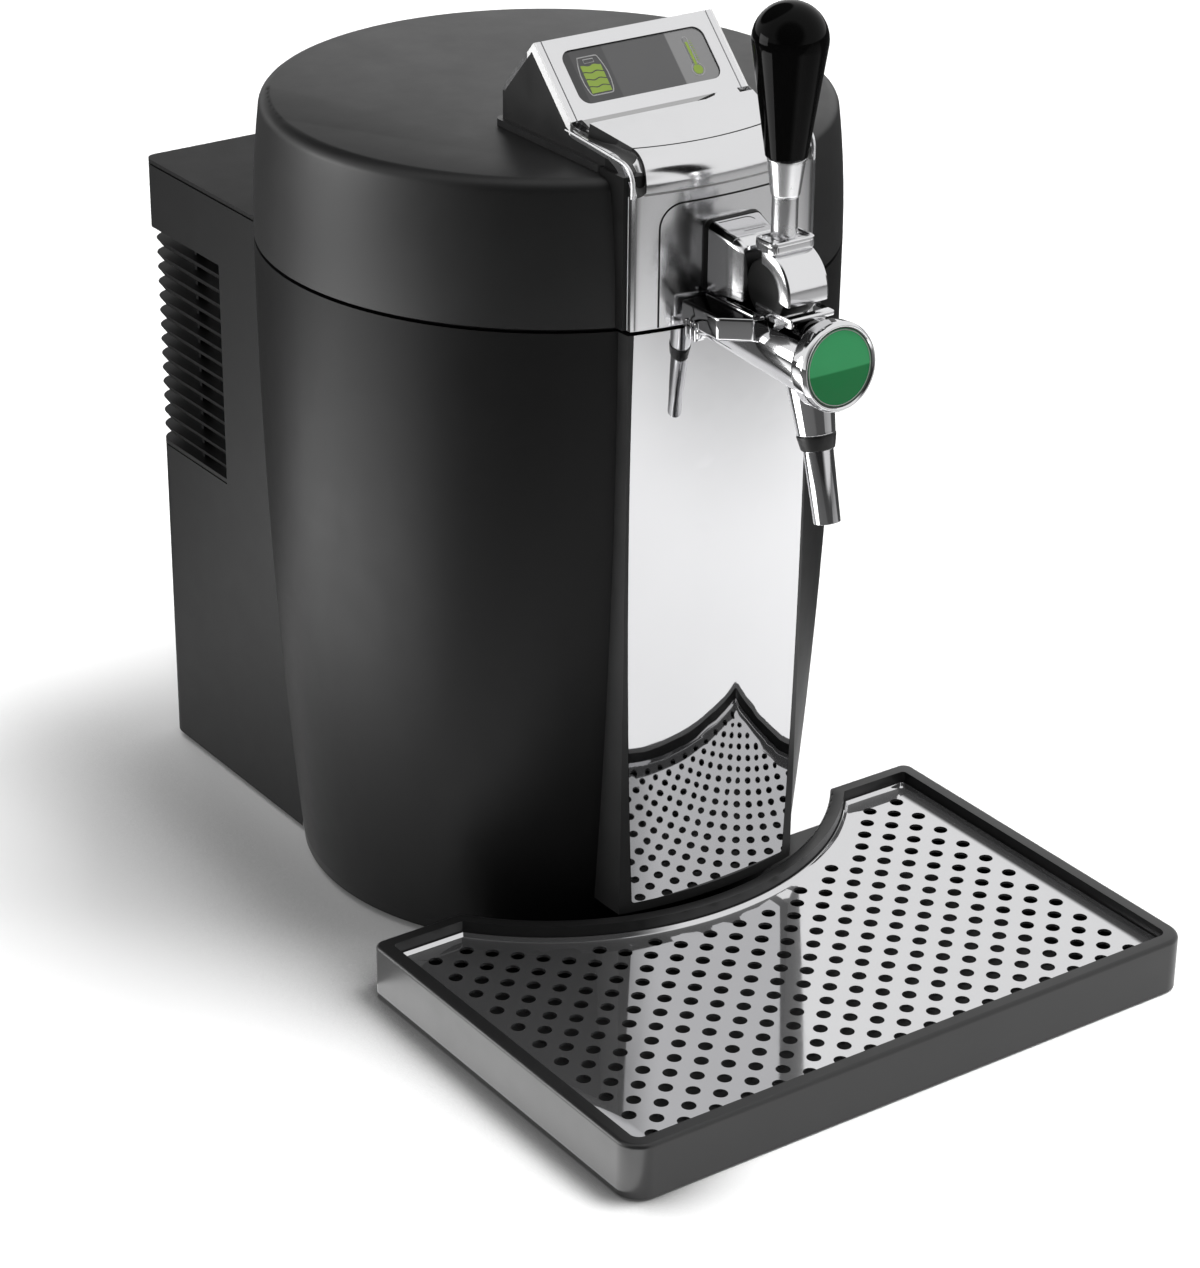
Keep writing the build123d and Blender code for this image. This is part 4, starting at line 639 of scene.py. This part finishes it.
def make_barrel():
    """Barrel with its side shoulders, and the seat for the lever on top."""
    rear, nose = BARREL_REAR, BARREL_REAR - 34
    place = placer((0, rear, BARREL_Z), (0, -1, 0), (0, 0, 1))
    cone = turned(rounded([(0, 0), (12.5, 0), (15.75, 61.5), (0, 61.5)], 0.4), place)
    wing = prism([(9, rear), (26, rear), (26, rear - 25), (15.2, nose), (9, nose)], 299.3, 309.3, 1.3, 4)
    # raised rail beside the block, and the ribbed latch under the wing's rear end
    rail_plan = [(13.6, rear - 2), (15.4, rear - 2), (15.0, rear - 33), (13.4, rear - 33)]
    rail = prism(rail_plan, 308.5, 310.6, 0.5)
    ribs = [prism(rectangle(22, 26.9, rear - d, rear - d - 1.5), 294.6, 302.5, 0.4) for d in (3.5, 6.5, 9.5)]
    latch = prism(rectangle(21.5, 26.2, rear - 1.5, rear - 12), 295.5, 300, 0.8)
    side = joined(wing, rail, latch, *ribs)
    tail = prism([(-9, rear - 8), (-9, -117.5), (9, -117.5), (9, rear - 8)], 300.2, 310.9, 0.4)
    collar = prism(rectangle(-8.8, 8.8, -183.5, -158), 306, 313.5, 1.7, 4)
    flange = prism(rectangle(-11, 11, -185.4, -172), 311.4, 313.9, 0.9, 4)
    lug = prism(rectangle(6.4, 8.1, PIVOT_Y - 4.6, PIVOT_Y + 4.6), 312, 324, 0.5)
    # room for the lever's hood, which sinks into the barrel as the lever comes forward
    pocket = sector([(-POCKET_HALF, POCKET_IN), (-POCKET_HALF, POCKET_OUT), (POCKET_HALF, POCKET_OUT), (
        POCKET_HALF, POCKET_IN)], -58, 6)
    body, seat = joined(cone, side, flipped(side), tail), joined(collar, flange, lug, flipped(lug))
    # the barrel's body has a painted dark reflection on its top, towards the left
    piece("barrel_body", body, "barrel_chrome_painted_reflection", "tap_barrel", pocket=pocket)
    piece("barrel_seat", seat, "soft_chrome", "tap_barrel", pocket=pocket)


def make_badge():
    """Badge on the barrel's end, with a dark joint and a fine pale line round its enamel."""
    c, s = math.cos(BADGE_TILT), math.sin(BADGE_TILT)
    place = placer((0, BADGE_Y, BARREL_Z), (0, -c, s), (0, s, c))
    ring = [(0, 0.1), (17.0, 0.1), (18.4, 1.6), (18.4, 8.0), (17.4, 9.9), (16.7, 9.9), (16.0, 8.9), (0, 8.9)]
    lathe("badge_rim", ring, place, "chrome", "badge_ring", 0.8)
    disc = [(0, 9.5), (8, 9.45), (15.8, 9.15), (16.05, 9.0), (16.05, 8.2), (0, 8.2)]
    lathe("badge_face", disc, place, "badge_green", "badge_disc", 0.3)
    joint = [(15.75, 9.1), (15.75, 9.28), (16.35, 9.28), (16.35, 9.1)]
    line = [(15.1, 9.15), (15.1, 9.33), (15.45, 9.31), (15.45, 9.1)]
    for name, profile, mat in (("badge_joint", joint, "icon_dark"), ("badge_line", line, "icon_line")):
        overlay(name, turned(rounded(profile, 0.05, 1), place), mat, "badge_disc")


def make_spout():
    """Spout: plated cone, black collar and steel tube."""
    c, s = math.cos(SPOUT_TILT), math.sin(SPOUT_TILT)
    place = placer(SPOUT, (0, -s, -c), (0, -c, s))
    cone = [(0, -6), (10.2, -6), (9.6, 0), (7.95, 18.6), (7.9, 19.5), (0, 19.5)]
    lathe("spout_neck", cone, place, "chrome", "spout_cone")
    collar = [(0, 19.7), (8.1, 19.7), (8.05, 20.6), (6.95, 25.8), (0, 25.8)]
    lathe("spout_band", collar, place, "collar_black", "spout_collar", 0.4)
    tube = [(0, 25.9), (6.2, 25.9), (5.5, 56.3), (4.7, 56.3), (4.7, 44), (0, 44)]
    lathe("spout_pipe", tube, place, "tube_steel", "spout_tube", 0.25)


def make_lever():
    """Lever over its yoke: plated stem and ferrule, and a grip that ends in a ball."""
    place = upright(PIVOT_Y)
    stem = [(0, STEM_FOOT), (5.35, STEM_FOOT), (5.35, 357.6), (5.0, 357.9), (0, 357.9)]
    lathe("stem_rod", stem, place, "stem_plating", "lever_stem", 0.3)
    ferrule = [(0, 358), (5.6, 358), (5.95, 358.7), (7.75, 372.4), (7.8, 373.4), (0, 373.4)]
    lathe("ferrule_cone", ferrule, place, "stem_plating", "lever_ferrule", 0.6)
    side = rounded([(0, 373.6), (8.0, 373.6), (8.55, 374.3)], 0.5)
    middle = GRIP_TOP - GRIP_R
    turns = [-GRIP_LEAN + (math.pi / 2 + GRIP_LEAN) * k / 32 for k in range(33)]
    ball = [Vector((GRIP_R * math.cos(a), middle + GRIP_R * math.sin(a))) for a in turns]
    piece("grip_knob", turned(side + ball, place), "grip_black", "lever_grip")


def make_yoke():
    """Yoke: curved hood under a framed cap, and the dark cam at the pivot."""
    half = HOOD_HALF
    section = [(-half, HOOD_IN), (-half, 16.0), (-half + 0.35, 16.8), (-half + 1.2, HOOD_OUT)]
    section += [(x, HOOD_OUT) for x in (-6, -2, 2, 6)]
    section += [(half - 1.2, HOOD_OUT), (half - 0.35, 16.8), (half, 16.0), (half, HOOD_IN)]
    section += [(half - 1.8, HOOD_IN), (half - 1.8, 14.5), (-half + 1.8, 14.5), (-half + 1.8, HOOD_IN)]
    hood = sector(section, -8, 92)
    outline = corners(-10.8, 10.8, -172.6, -159.0, 3)
    cap = prism(outline, 335.9, 340.5, 1.2, 4)
    rim = ring_prism(outline, corners(-8.9, 8.9, -170.7, -160.9, 2), 340.0, 341.3)
    neck = [(0, PIVOT_Z), (5.2, PIVOT_Z), (5.2, STEM_FOOT), (0, STEM_FOOT)]
    neck = turned(rounded(neck, 0.3), upright(PIVOT_Y))
    piece("yoke_hood", joined(hood, cap, rim, neck), "soft_chrome", "lever_yoke")
    overlay("yoke_cam", joined(pivot_disc(5.8, 6.1), pivot_disc(12.2, 8.35)), "trim_plastic", "lever_yoke")


# ------------------------------------------------------------------ tap block
BLOCK_REAR, BLOCK_LENGTH = -131.5, 21.5
BLOCK_TOP, BLOCK_DROP = 340.0, 5.5
BLOCK_HALF, BLOCK_TAPER = 14.0, 3.5
BLOCK_FOOT, BLOCK_ROUND = 311.2, 3.6


def block_top(y):
    """Height of the sloping top."""
    return BLOCK_TOP - (BLOCK_REAR - y) * BLOCK_DROP / BLOCK_LENGTH


def block_rings(places):
    """Sections with round top edges at each (y, inset)."""
    rings = []
    for y, inset in places:
        half = BLOCK_HALF - max(BLOCK_REAR - y, 0) * BLOCK_TAPER / BLOCK_LENGTH - inset
        low, high = BLOCK_FOOT + inset, block_top(y) - inset
        ring = [(-half, y, low)]
        for cx, start in ((-half + BLOCK_ROUND, 180), (half - BLOCK_ROUND, 90)):
            edge = arc(cx, high - BLOCK_ROUND, BLOCK_ROUND, start, start - 90, 8)
            ring += [(x, y, z) for x, z in edge]
        rings.append(ring + [(half, y, low)])
    return rings


def make_block():
    """Block behind the lever, its gasket, and the lines in its top."""
    rear = block_rings([(-133.1, 0.5), (-133.3, 0.12), (-133.8, 0)])
    joint = [(-146.2, 0), (-146.3, 0.25), (-146.8, 0.25), (-146.9, 0)]
    front = block_rings(joint + [(-152.2, 0), (-152.8, 0.2), (-153.0, 0.7)])
    # the block has a painted dark reflection along its upper left edge
    piece("block_body", lofted(rear + front, capped=True), "block_chrome_painted_reflection", "tap_block")
    gasket = lofted(block_rings([(-124.0, -0.1), (-133.15, -0.1)]), capped=True)
    overlay("block_gasket", gasket, "trim_plastic", "tap_block")
    up = Vector((0, BLOCK_DROP, BLOCK_LENGTH)).normalized()
    recess = rounded([(-9.5, -134.6), (4.5, -134.6), (6.2, -135.4), (6.9, -137.2)], 2.0, 4)
    short = [(x, -143.2) for x in (-3, 0, 3, 7)]
    lines = []
    for path, width in ((recess, 0.55), (short, 0.4)):
        lines.append(ribbon([(x, y, block_top(y) - 0.02) for x, y in path], width, 0.06, lambda p: up))
    overlay("block_lines", joined(*lines), "trim_plastic", "tap_block")


# ------------------------------------------------------------------ head's front
PANEL_R, PANEL_AXIS_Y = 187.0, 55.5
LID_TOP = 358.6
LIFT = 0.16  # over the CAD cover, whose facets it hides
PLATE_REAR, PLATE_RUN = -89.4, 26.7
PLATE_TOP, PLATE_DROP = 373.6, 5.6
PLATE_HALF, ROLL_HALF, FACE_HALF = 41.0, 36.2, 40.0
ROLL_REAR = 15.2
ROLL = [(ROLL_REAR, 9.35), (9.0, 8.7), (0.0, 7.0), (0.0, -2.5)]  # plate to face, as (behind, above)
ELBOW = [(9.0, 8.4), (4.2, 8.0), (0.0, 5.2), (0.0, -1.0)]  # the same of the side rims
RIM_REAR, RIM_WIDTH = 46.8, 1.6
PLATE_ROWS, FACE_ROWS = 9, 8
SIDE_HALF, SIDE_ROUND = 46.0, 2.2
SEAM_Z = 297.4  # over the front panel


def bowed(x, behind):
    """Y of a line that runs parallel to the bowed face, this far behind it."""
    return PANEL_AXIS_Y - math.sqrt((PANEL_R - behind) ** 2 - x * x)


def face_normal(p):
    """Outward at a point of the bowed face."""
    return Vector((p[0], p[1] - PANEL_AXIS_Y, 0)).normalized()


def plate_z(y):
    """Height of the sloping plate under the display."""
    return PLATE_TOP - (PLATE_REAR - y) * PLATE_DROP / PLATE_RUN


def crown_rows():
    """Rows of points over the plate, down the roll and onto the face."""
    columns = spaced(-1, 1, 49)
    rows = []
    for t in spaced(0, 1, PLATE_ROWS):
        half = blend(PLATE_HALF, ROLL_HALF, t)
        places = [(u * half, blend(-89.0, bowed(u * half, 15.6), t)) for u in columns]
        rows.append([(x, y, plate_z(y) + LIFT) for x, y in places])
    for t in spaced(0, 0.97, 26):
        behind, above = bezier(t, ROLL)
        half, row = blend(ROLL_HALF, FACE_HALF, ease(t)), []
        for x in [u * half for u in columns]:
            rise = plate_z(bowed(x, ROLL_REAR)) - plate_z(bowed(0, ROLL_REAR))
            row.append((x, bowed(x, behind - LIFT), LID_TOP + above + LIFT + rise * (1 - t) ** 2))
        rows.append(row)
    for k in range(1, FACE_ROWS + 1):
        turn = math.pi / 2 * k / FACE_ROWS
        half, z = 44.4 - 4.4 * math.cos(turn), LID_TOP - 2.4 - 2.6 * math.sin(turn)
        rows.append([(u * half, bowed(u * half, -LIFT), z) for u in columns])
    return rows


def lower_rows():
    """Rows of the face between the side channels' ends and the seam over the panel, round sides included."""
    turns = [math.radians(a) for a in range(0, 91, 15)]
    side = [(-SIDE_HALF + SIDE_ROUND * (1 - math.cos(t)), SIDE_ROUND * (1 - math.sin(t))) for t in turns]
    rows = []
    for z in spaced(LID_TOP - 4.9, SEAM_Z, 14):
        left = [(-46.1, bowed(SIDE_HALF, -LIFT) + 14, z)]
        left += [(x, bowed(x, -LIFT) + depth, z) for x, depth in side]
        middle = [(x, bowed(x, -LIFT), z) for x in spaced(-42, 42, 41)]
        rows.append(left + middle + [(-x, y, z) for x, y, z in reversed(left)])
    return rows


def make_head_front():
    """Head's front over the CAD cover: plate, roll, face, side channels in painted shade, rims, a fine joint
    line, and strips of painted shade in the groove and under the roll.
    """
    rows = crown_rows()
    plate, roll = sheet(rows[:PLATE_ROWS]), sheet(rows[PLATE_ROWS:])
    skirts = []
    for end in (0, -1):
        line = [row[end] for row in rows[:-FACE_ROWS]]
        under, foot = [(x, y, z - 1.2) for x, y, z in line], [(x, y + 1.0, z - 6) for x, y, z in line]
        skirts.append(sheet([line, under, foot]))
    low_rows = lower_rows()
    lower, edge = sheet([row[4:] for row in low_rows]), sheet([row[:5] for row in low_rows])
    sill = sheet([low_rows[-1], [(x, y + 1.5, z) for x, y, z in low_rows[-1]]])
    overlay("head_plate", plate, "satin_chrome", "head_cover")
    overlay("head_roll", joined(roll, lower, sill), "satin_chrome", "head_cover")
    # painted shade: the channels' sides are dark grey and matt
    overlay("head_channel_shade", joined(*skirts), "channel_painted_shade", "head_cover")
    joint = [tuple(Vector(p) + Vector((0, 0, 0.02))) for p in rows[PLATE_ROWS]]
    line = ribbon(joint, 0.5, 0.06, lambda p: Vector((0, -0.2, 0.98)))
    overlay("head_joint", line, "trim_plastic", "head_cover")
    rim = make_rim()
    overlay("head_rims", joined(rim, flipped(rim), edge), "rim_plating", "head_cover")
    # painted shade: a black strip along the groove's rising wall, where it runs out at the right
    groove_wall_path = []
    for t in spaced(0, 1, 12):
        y = blend(-88.2, -81.6, t)
        groove_wall_path.append((blend(5, 27, t) - 2.5 * math.sin(math.pi * t), y, 372.95 + (y + 80.7) * 0.396))
    groove_wall_shade = ribbon(groove_wall_path, 0.9, 0.1, lambda p: Vector((0, -0.37, 0.93)))
    overlay("groove_wall_painted_shade", groove_wall_shade, "trim_plastic", "head_cover")
    # painted shade: a grey strip across the face just under the roll
    crease_shade_line = [(x, bowed(x, -LIFT), LID_TOP - 4.2) for x in spaced(-41, 41, 42)]
    overlay("head_crease_shade", ribbon(crease_shade_line, 1.0, 0.05, face_normal), "crease_shade_grey", "head_cover")


def make_rim():
    """Thin plated rim outside the channel, down to where the channel ends."""
    track = [(RIM_REAR, 10.6), (30.0, 9.6), (14.0, 8.7)]
    track += [bezier(k / 16, ELBOW) for k in range(1, 17)]
    track += [(0.0, -3.0), (0.0, -5.0), (0.1, -5.6)]
    rows = []
    for i, (behind, above) in enumerate(track):
        before, after = track[max(i - 1, 0)], track[min(i + 1, len(track) - 1)]
        run = Vector((after[0] - before[0], after[1] - before[1])).normalized()
        out = Vector((run.y, -run.x))  # away from the head, as (behind, above)
        outer = blend(45.0, 46.1, ease((RIM_REAR - behind) / 38))
        inner = outer - RIM_WIDTH
        row = []
        for x, drop in ((inner, 1.6), (inner, 0.5), (inner + 0.2, 0.12), (inner + 0.5, 0), (outer - 0.6, 0), (
                outer - 0.2, 0.15), (outer, 0.5), (outer, 0.9)):
            b, a = behind + out.x * (LIFT - drop), above + out.y * (LIFT - drop)
            row.append((-x, bowed(x, b), LID_TOP + a))
        rows.append(row)
    return sheet(rows)


def make_seams():
    """Black joint round the plate behind the tap."""
    turns = [math.pi / 2 * k / 10 for k in range(11)]
    line = [(-34.15, 297.6)]
    line += [(-24.15 - 10 * math.cos(t), 339.15 + 10 * math.sin(t)) for t in turns]
    line += [(x, 349.15) for x in range(-20, 21, 4)]
    line += [(24.15 + 10 * math.sin(t), 339.15 + 10 * math.cos(t)) for t in turns]
    line.append((34.15, 297.6))
    path = [(x, bowed(x, 0.02 - LIFT), z) for x, z in line]
    overlay("backplate_joint", ribbon(path, 0.9, 0.14, face_normal), "trim_plastic", "tap_backplate")


# ------------------------------------------------------------------ display
LENS_MID = Vector((0, -67.6, 385.85))
LENS_UP = Vector((0, 26.2, 26.3)).normalized()
LENS_OUT = Vector((0, -26.3, 26.2)).normalized()
LENS_SINK = 0.8  # the window's face lies this far behind its middle point above


def on_lens(u, v, lift):
    """Point of the display window, across, up and off it."""
    return tuple(LENS_MID + Vector((u, 0, 0)) + LENS_UP * v + LENS_OUT * (lift - LENS_SINK))


def lens_plate(outline, lift):
    """A thin flat mark on the display window."""
    n = len(outline)
    points = [on_lens(u, v, lift) for u, v in outline] + [on_lens(u, v, 0.0) for u, v in outline]
    faces = [tuple(range(n))] + [(k, (k + 1) % n, n + (k + 1) % n, n + k) for k in range(n)]
    return points, faces


def lens_line(name, outline, width):
    """A thin line along a closed outline on the display window."""
    path = [on_lens(u, v, 0.0) for u, v in outline + outline[:2]]
    overlay(name, ribbon(path, width, 0.09, lambda p: LENS_OUT), "icon_line", "display_lens")


def make_icons():
    """Level mark, a small barrel with waves in it, and temperature mark."""
    left = [(-28.0, 8.6), (-29.3, 4.5), (-30.0, 0.5), (-29.9, -3.5), (-29.2, -7.2), (-28.5, -8.9)]
    right = [(-18.2, -8.9), (-17.4, -7.2), (-16.7, -3.5), (-16.6, 0.5), (-17.3, 4.5), (-18.6, 8.6)]
    lens_line("level_line", rounded(left + right + [left[0]], 0.8, 2)[:-1], 0.55)
    waves = [(u, 0.35 * math.sin((u + 23) * 1.05)) for u in spaced(-28.2, -18.4, 14)]
    bands = []
    for low, high in ((-8.0, -5.4), (-4.9, -2.1), (-1.6, 1.2), (1.7, 4.5)):
        lower = [(u, low + (wave if low > -7 else 0)) for u, wave in waves]
        upper = [(u, high + wave) for u, wave in waves]
        bands.append(lens_plate(lower + upper[::-1], 0.08))
    overlay("level_bands", joined(*bands), "icon_green", "display_lens")
    lens_line("level_cap", rectangle(-25.8, -20.9, 5.7, 7.4), 0.5)
    stem = [(24.6, -4.2), (24.6, 8.2), (25.2, 8.9), (26.2, 8.9), (26.8, 8.2), (26.8, -4.2)]
    lens_line("heat_line", stem + arc(25.7, -6.6, 3.0, 68, -248, 24, 2.9), 0.4)
    column = [(26.35, -4.4), (26.35, 6.4), (25.05, 6.4), (25.05, -4.4)]
    marks = [lens_plate(column, 0.07), lens_plate(arc(25.7, -6.6, 2.3, 70, -250, 24, 2.2), 0.08)]
    marks += [lens_plate(rectangle(27.2, 28.3, v, v + 0.35), 0.07) for v in spaced(-2.5, 6.5, 9)]
    overlay("heat_column", joined(*marks), "icon_green", "display_lens")


# ------------------------------------------------------------------ drip grille
GRILLE_INSET, GRILLE_FACE, GRILLE_LOW = 6.9, 18.9, 17.7
HOLE_R, HOLE_SIDES = 3.15, 20
ROW_STEP, FIRST_ROW, LAST_ROW = 7.95, -261.0, -98.2
HOLES_HALF, HOLES_FROM_DRUM = 132.7, 146.9
# the turned-up border's profile, as (inset, height)
BORDER = [(0, GRILLE_LOW), (0, GRILLE_FACE + 1.6), (0.2, GRILLE_FACE + 1.95), (0.7, GRILLE_FACE + 1.95)]
BORDER += [(0.95, GRILLE_FACE + 1.6), (1.2, GRILLE_FACE + 0.9), (1.7, GRILLE_FACE + 0.3), (2.4, GRILLE_FACE)]


def tray_loop(inset):
    """Plan of the tray, a margin inside its edge, always with as many points."""
    half, front, rear = 147.6 - inset, -275.9 + inset, -83.3 - inset
    corner, rear_corner, hug = max(11 - inset, 2.0), max(5 - inset, 2.0), 132.0 + inset
    reach = math.sqrt(hug * hug - rear * rear)
    start, end = math.atan2(rear, -reach), math.atan2(rear, reach)
    out = [(hug * math.cos(a), hug * math.sin(a)) for a in spaced(start, end, 120)]
    for cx, cy, r, a in ((half - rear_corner, rear - rear_corner, rear_corner, 90), (
            half - corner, front + corner, corner, 0), (-half + corner, front + corner, corner, -90), (
            -half + rear_corner, rear - rear_corner, rear_corner, 180)):
        out += arc(cx, cy, r, a, a - 90, 8)
    return out


def hole_spots():
    """Staggered rows of holes that keep clear of the border."""
    out = []
    for row in range(30):
        y = FIRST_ROW + row * ROW_STEP
        for column in range(-10, 11):
            x = column * 2 * ROW_STEP + (row % 2) * ROW_STEP
            if abs(x) <= HOLES_HALF and x * x + y * y >= HOLES_FROM_DRUM**2 and y <= LAST_ROW:
                out.append((x, y))
    return out


def row_of(y):
    return round((y - FIRST_ROW) / ROW_STEP)


def in_loop(x, y, loop):
    """Whether a point lies inside a closed line."""
    odd = False
    for (ax, ay), (bx, by) in zip(loop, loop[1:] + loop[:1]):
        if (ay > y) != (by > y) and x < (bx - ax) * (y - ay) / (by - ay) + ax:
            odd = not odd
    return odd


def make_grille():
    """Plate with round holes and a turned-up border."""
    rim = lofted([[(x, y, z) for x, y in tray_loop(GRILLE_INSET + i)] for i, z in BORDER])
    border = tray_loop(GRILLE_INSET + BORDER[-1][0])
    flat = [Vector(p) for p in border]
    edges = [(k, (k + 1) % len(border)) for k in range(len(border))]
    turns = [2 * math.pi * k / HOLE_SIDES for k in range(HOLE_SIDES)]
    walls, rows = [], {}
    for x, y in hole_spots():
        rows.setdefault(row_of(y), []).append((x, y))
        ring = [(x + HOLE_R * math.cos(a), y + HOLE_R * math.sin(a)) for a in turns]
        base = len(flat)
        flat += [Vector(p) for p in ring]
        edges += [(base + k, base + (k + 1) % HOLE_SIDES) for k in range(HOLE_SIDES)]
        points = [(a, b, GRILLE_FACE) for a, b in ring] + [(a, b, GRILLE_LOW) for a, b in ring]
        sides = [(k, (k + 1) % HOLE_SIDES) for k in range(HOLE_SIDES)]
        walls.append((points, [(k, HOLE_SIDES + k, HOLE_SIDES + m, m) for k, m in sides]))
    verts, _, tris, *_ = delaunay_2d_cdt(flat, edges, [], 1, 1e-5)
    keep = []
    for tri in tris:
        cx, cy = sum(verts[i].x for i in tri) / len(tri), sum(verts[i].y for i in tri) / len(tri)
        row = row_of(cy)
        close = [spot for r in (row - 1, row, row + 1) for spot in rows.get(r, [])]
        if any((cx - x) ** 2 + (cy - y) ** 2 < (HOLE_R - 0.05) ** 2 for x, y in close):
            continue
        if in_loop(cx, cy, border):
            keep.append(tri)
    top = ([(v.x, v.y, GRILLE_FACE) for v in verts], keep)
    piece("grille_plate", joined(rim, top, *walls), "grille_steel", "drip_grille")


# ------------------------------------------------------------------ studio
# unlit ends, as (direction, where it begins along that direction, where it is full, level there)
FLOOR_ENDS = [
    ((0.62, 0.78, 0), 0.08, 0.28, 0.02),
    ((0.62, -0.78, 0), 0.45, 0.95, 0.35),
    ((-0.90, -0.43, 0), 0.30, 0.50, 0.10),
]
ROOM_ENDS = [
    ((-0.56, -0.70, 0.44), 0.62, 0.86, 0.03),
    ((-0.03, 0.72, 0.69), 0.83, 0.88, 0.02),
]
SHADOW_SIDE = [((-1, 0, 0), 0.07, 0.15, 0.0)]
SHADOW_REACH, SHADOW_DEPTH = 0.11, 0.92
FLOOR_GREY, FLOOR_LIFT = 0.86, 0.06
BACKDROP_FROM, BACKDROP_FULL, BACKDROP_LEVEL = 1.1, 3.2, 0.9
WORLD_DIFFUSE = 0.4
# name, place, target, size, power, and which surfaces it lights
LAMPS = [
    ("key_right", (1.05, -0.55, 3.1), (0, 0, 0.1), (1.3, 1.3), 120, "matt"),
    ("card_left", (-1.7, 1.0, 0.35), (0, 0.05, 0.1), (1.2, 0.7), 15, "gloss"),
    ("card_tray", (-0.17, -0.17, 0.003), (-0.17, -0.17, 1), (0.045, 0.27), 0.08, "gloss"),
    ("card_floor", (-0.55, 0.2, 0.004), (-0.55, 0.2, 1), (0.5, 0.5), 3.0, "gloss"),
    ("top_back", (-0.3, 1.6, 1.9), (0, 0, 0.3), (1.8, 0.8), 20, "matt"),
]


def fade_out(tree, vector, ends):
    """1 falling to each end's level along its direction."""
    lit = [ramp(tree, facing(tree, vector, way), begin, full, 1.0, level) for way, begin, full, level in ends]
    return times(tree, *lit)


def make_floor():
    """White floor with unlit ends for gloss, a soft contact shadow and a backdrop for the camera."""
    bpy.ops.mesh.primitive_plane_add(size=30, location=(0, 0, 0))
    floor = bpy.context.object
    floor.name = "floor"
    m, tree, bsdf = new_material("floor_white")
    bsdf.inputs["Roughness"].default_value = 0.9
    bsdf.inputs["Specular IOR Level"].default_value = 0.0
    bsdf.inputs["Emission Color"].default_value = (1, 1, 1, 1)
    rays = add(tree, "ShaderNodeLightPath").outputs
    place = add(tree, "ShaderNodeNewGeometry").outputs["Position"]
    # past the lamps' reach the camera still sees a white backdrop
    span = add(tree, "ShaderNodeVectorMath", operation="LENGTH")
    tree.links.new(place, span.inputs[0])
    far = ramp(tree, span.outputs["Value"], BACKDROP_FROM, BACKDROP_FULL, 0.0, BACKDROP_LEVEL)
    seen = calc(tree, "MAXIMUM", rays["Is Camera Ray"], rays["Is Glossy Ray"])
    seen = calc(tree, "MAXIMUM", seen, rays["Is Transmission Ray"])
    lift = calc(tree, "ADD", times(tree, seen, FLOOR_LIFT), times(tree, far, rays["Is Camera Ray"]))
    tree.links.new(lift, bsdf.inputs["Emission Strength"])
    # ends of the floor that stay unlit, as gloss sees them
    unlit = calc(tree, "SUBTRACT", 1.0, fade_out(tree, place, FLOOR_ENDS))
    unlit = times(tree, rays["Is Glossy Ray"], unlit)
    # soft contact shadow on the side away from the key lamp
    near = add(tree, "ShaderNodeAmbientOcclusion", samples=10, Distance=SHADOW_REACH)
    close = ramp(tree, near.outputs["AO"], 0.98, 0.45, 0.0, SHADOW_DEPTH)
    away = calc(tree, "SUBTRACT", 1.0, fade_out(tree, place, SHADOW_SIDE))
    shade = times(tree, close, times(tree, away, rays["Is Camera Ray"]))
    dark = calc(tree, "MAXIMUM", unlit, shade)
    tree.links.new(mix_color(tree, dark, grey(FLOOR_GREY), grey(0.0)), bsdf.inputs["Base Color"])
    floor.data.materials.append(m)


def make_world():
    """White room for the camera and for gloss, with unlit ends, and a plain fill for matt surfaces."""
    world = bpy.data.worlds.new("studio")
    scene.world = world
    world.use_nodes = True
    tree = world.node_tree
    back = tree.nodes["Background"]
    back.inputs["Color"].default_value = (1, 1, 1, 1)
    rays = add(tree, "ShaderNodeLightPath").outputs
    way = add(tree, "ShaderNodeTexCoord").outputs["Generated"]
    gloss = add(tree, "ShaderNodeMix", data_type="FLOAT")
    gloss.inputs["A"].default_value = WORLD_DIFFUSE
    tree.links.new(fade_out(tree, way, ROOM_ENDS), gloss.inputs["B"])
    tree.links.new(rays["Is Glossy Ray"], gloss.inputs["Factor"])
    level = add(tree, "ShaderNodeMix", data_type="FLOAT")
    level.inputs["B"].default_value = 1.0
    tree.links.new(gloss.outputs["Result"], level.inputs["A"])
    direct = calc(tree, "MAXIMUM", rays["Is Camera Ray"], rays["Is Transmission Ray"])
    tree.links.new(direct, level.inputs["Factor"])
    tree.links.new(level.outputs["Result"], back.inputs["Strength"])


def make_lights():
    """Soft lamps for matt surfaces, and cards that only gloss sees."""
    for name, where, target, size, power, surfaces in LAMPS:
        data = bpy.data.lights.new(name, "AREA")
        data.shape = "RECTANGLE"
        data.size, data.size_y = size
        data.energy = power
        lamp = bpy.data.objects.new(name, data)
        lamp.location = where
        lamp.rotation_euler = (Vector(target) - Vector(where)).to_track_quat("-Z", "Y").to_euler()
        lamp.visible_camera = False
        lamp.visible_diffuse = surfaces == "matt"
        lamp.visible_glossy = surfaces == "gloss"
        scene.collection.objects.link(lamp)


make_camera()
SMOOTH = smooth_group()
MATS = make_materials()
dress_nodes()
make_barrel()
make_badge()
make_spout()
make_lever()
make_yoke()
make_block()
make_head_front()
make_seams()
make_icons()
make_grille()
make_floor()
make_world()
make_lights()
scene.view_settings.view_transform = "Standard"
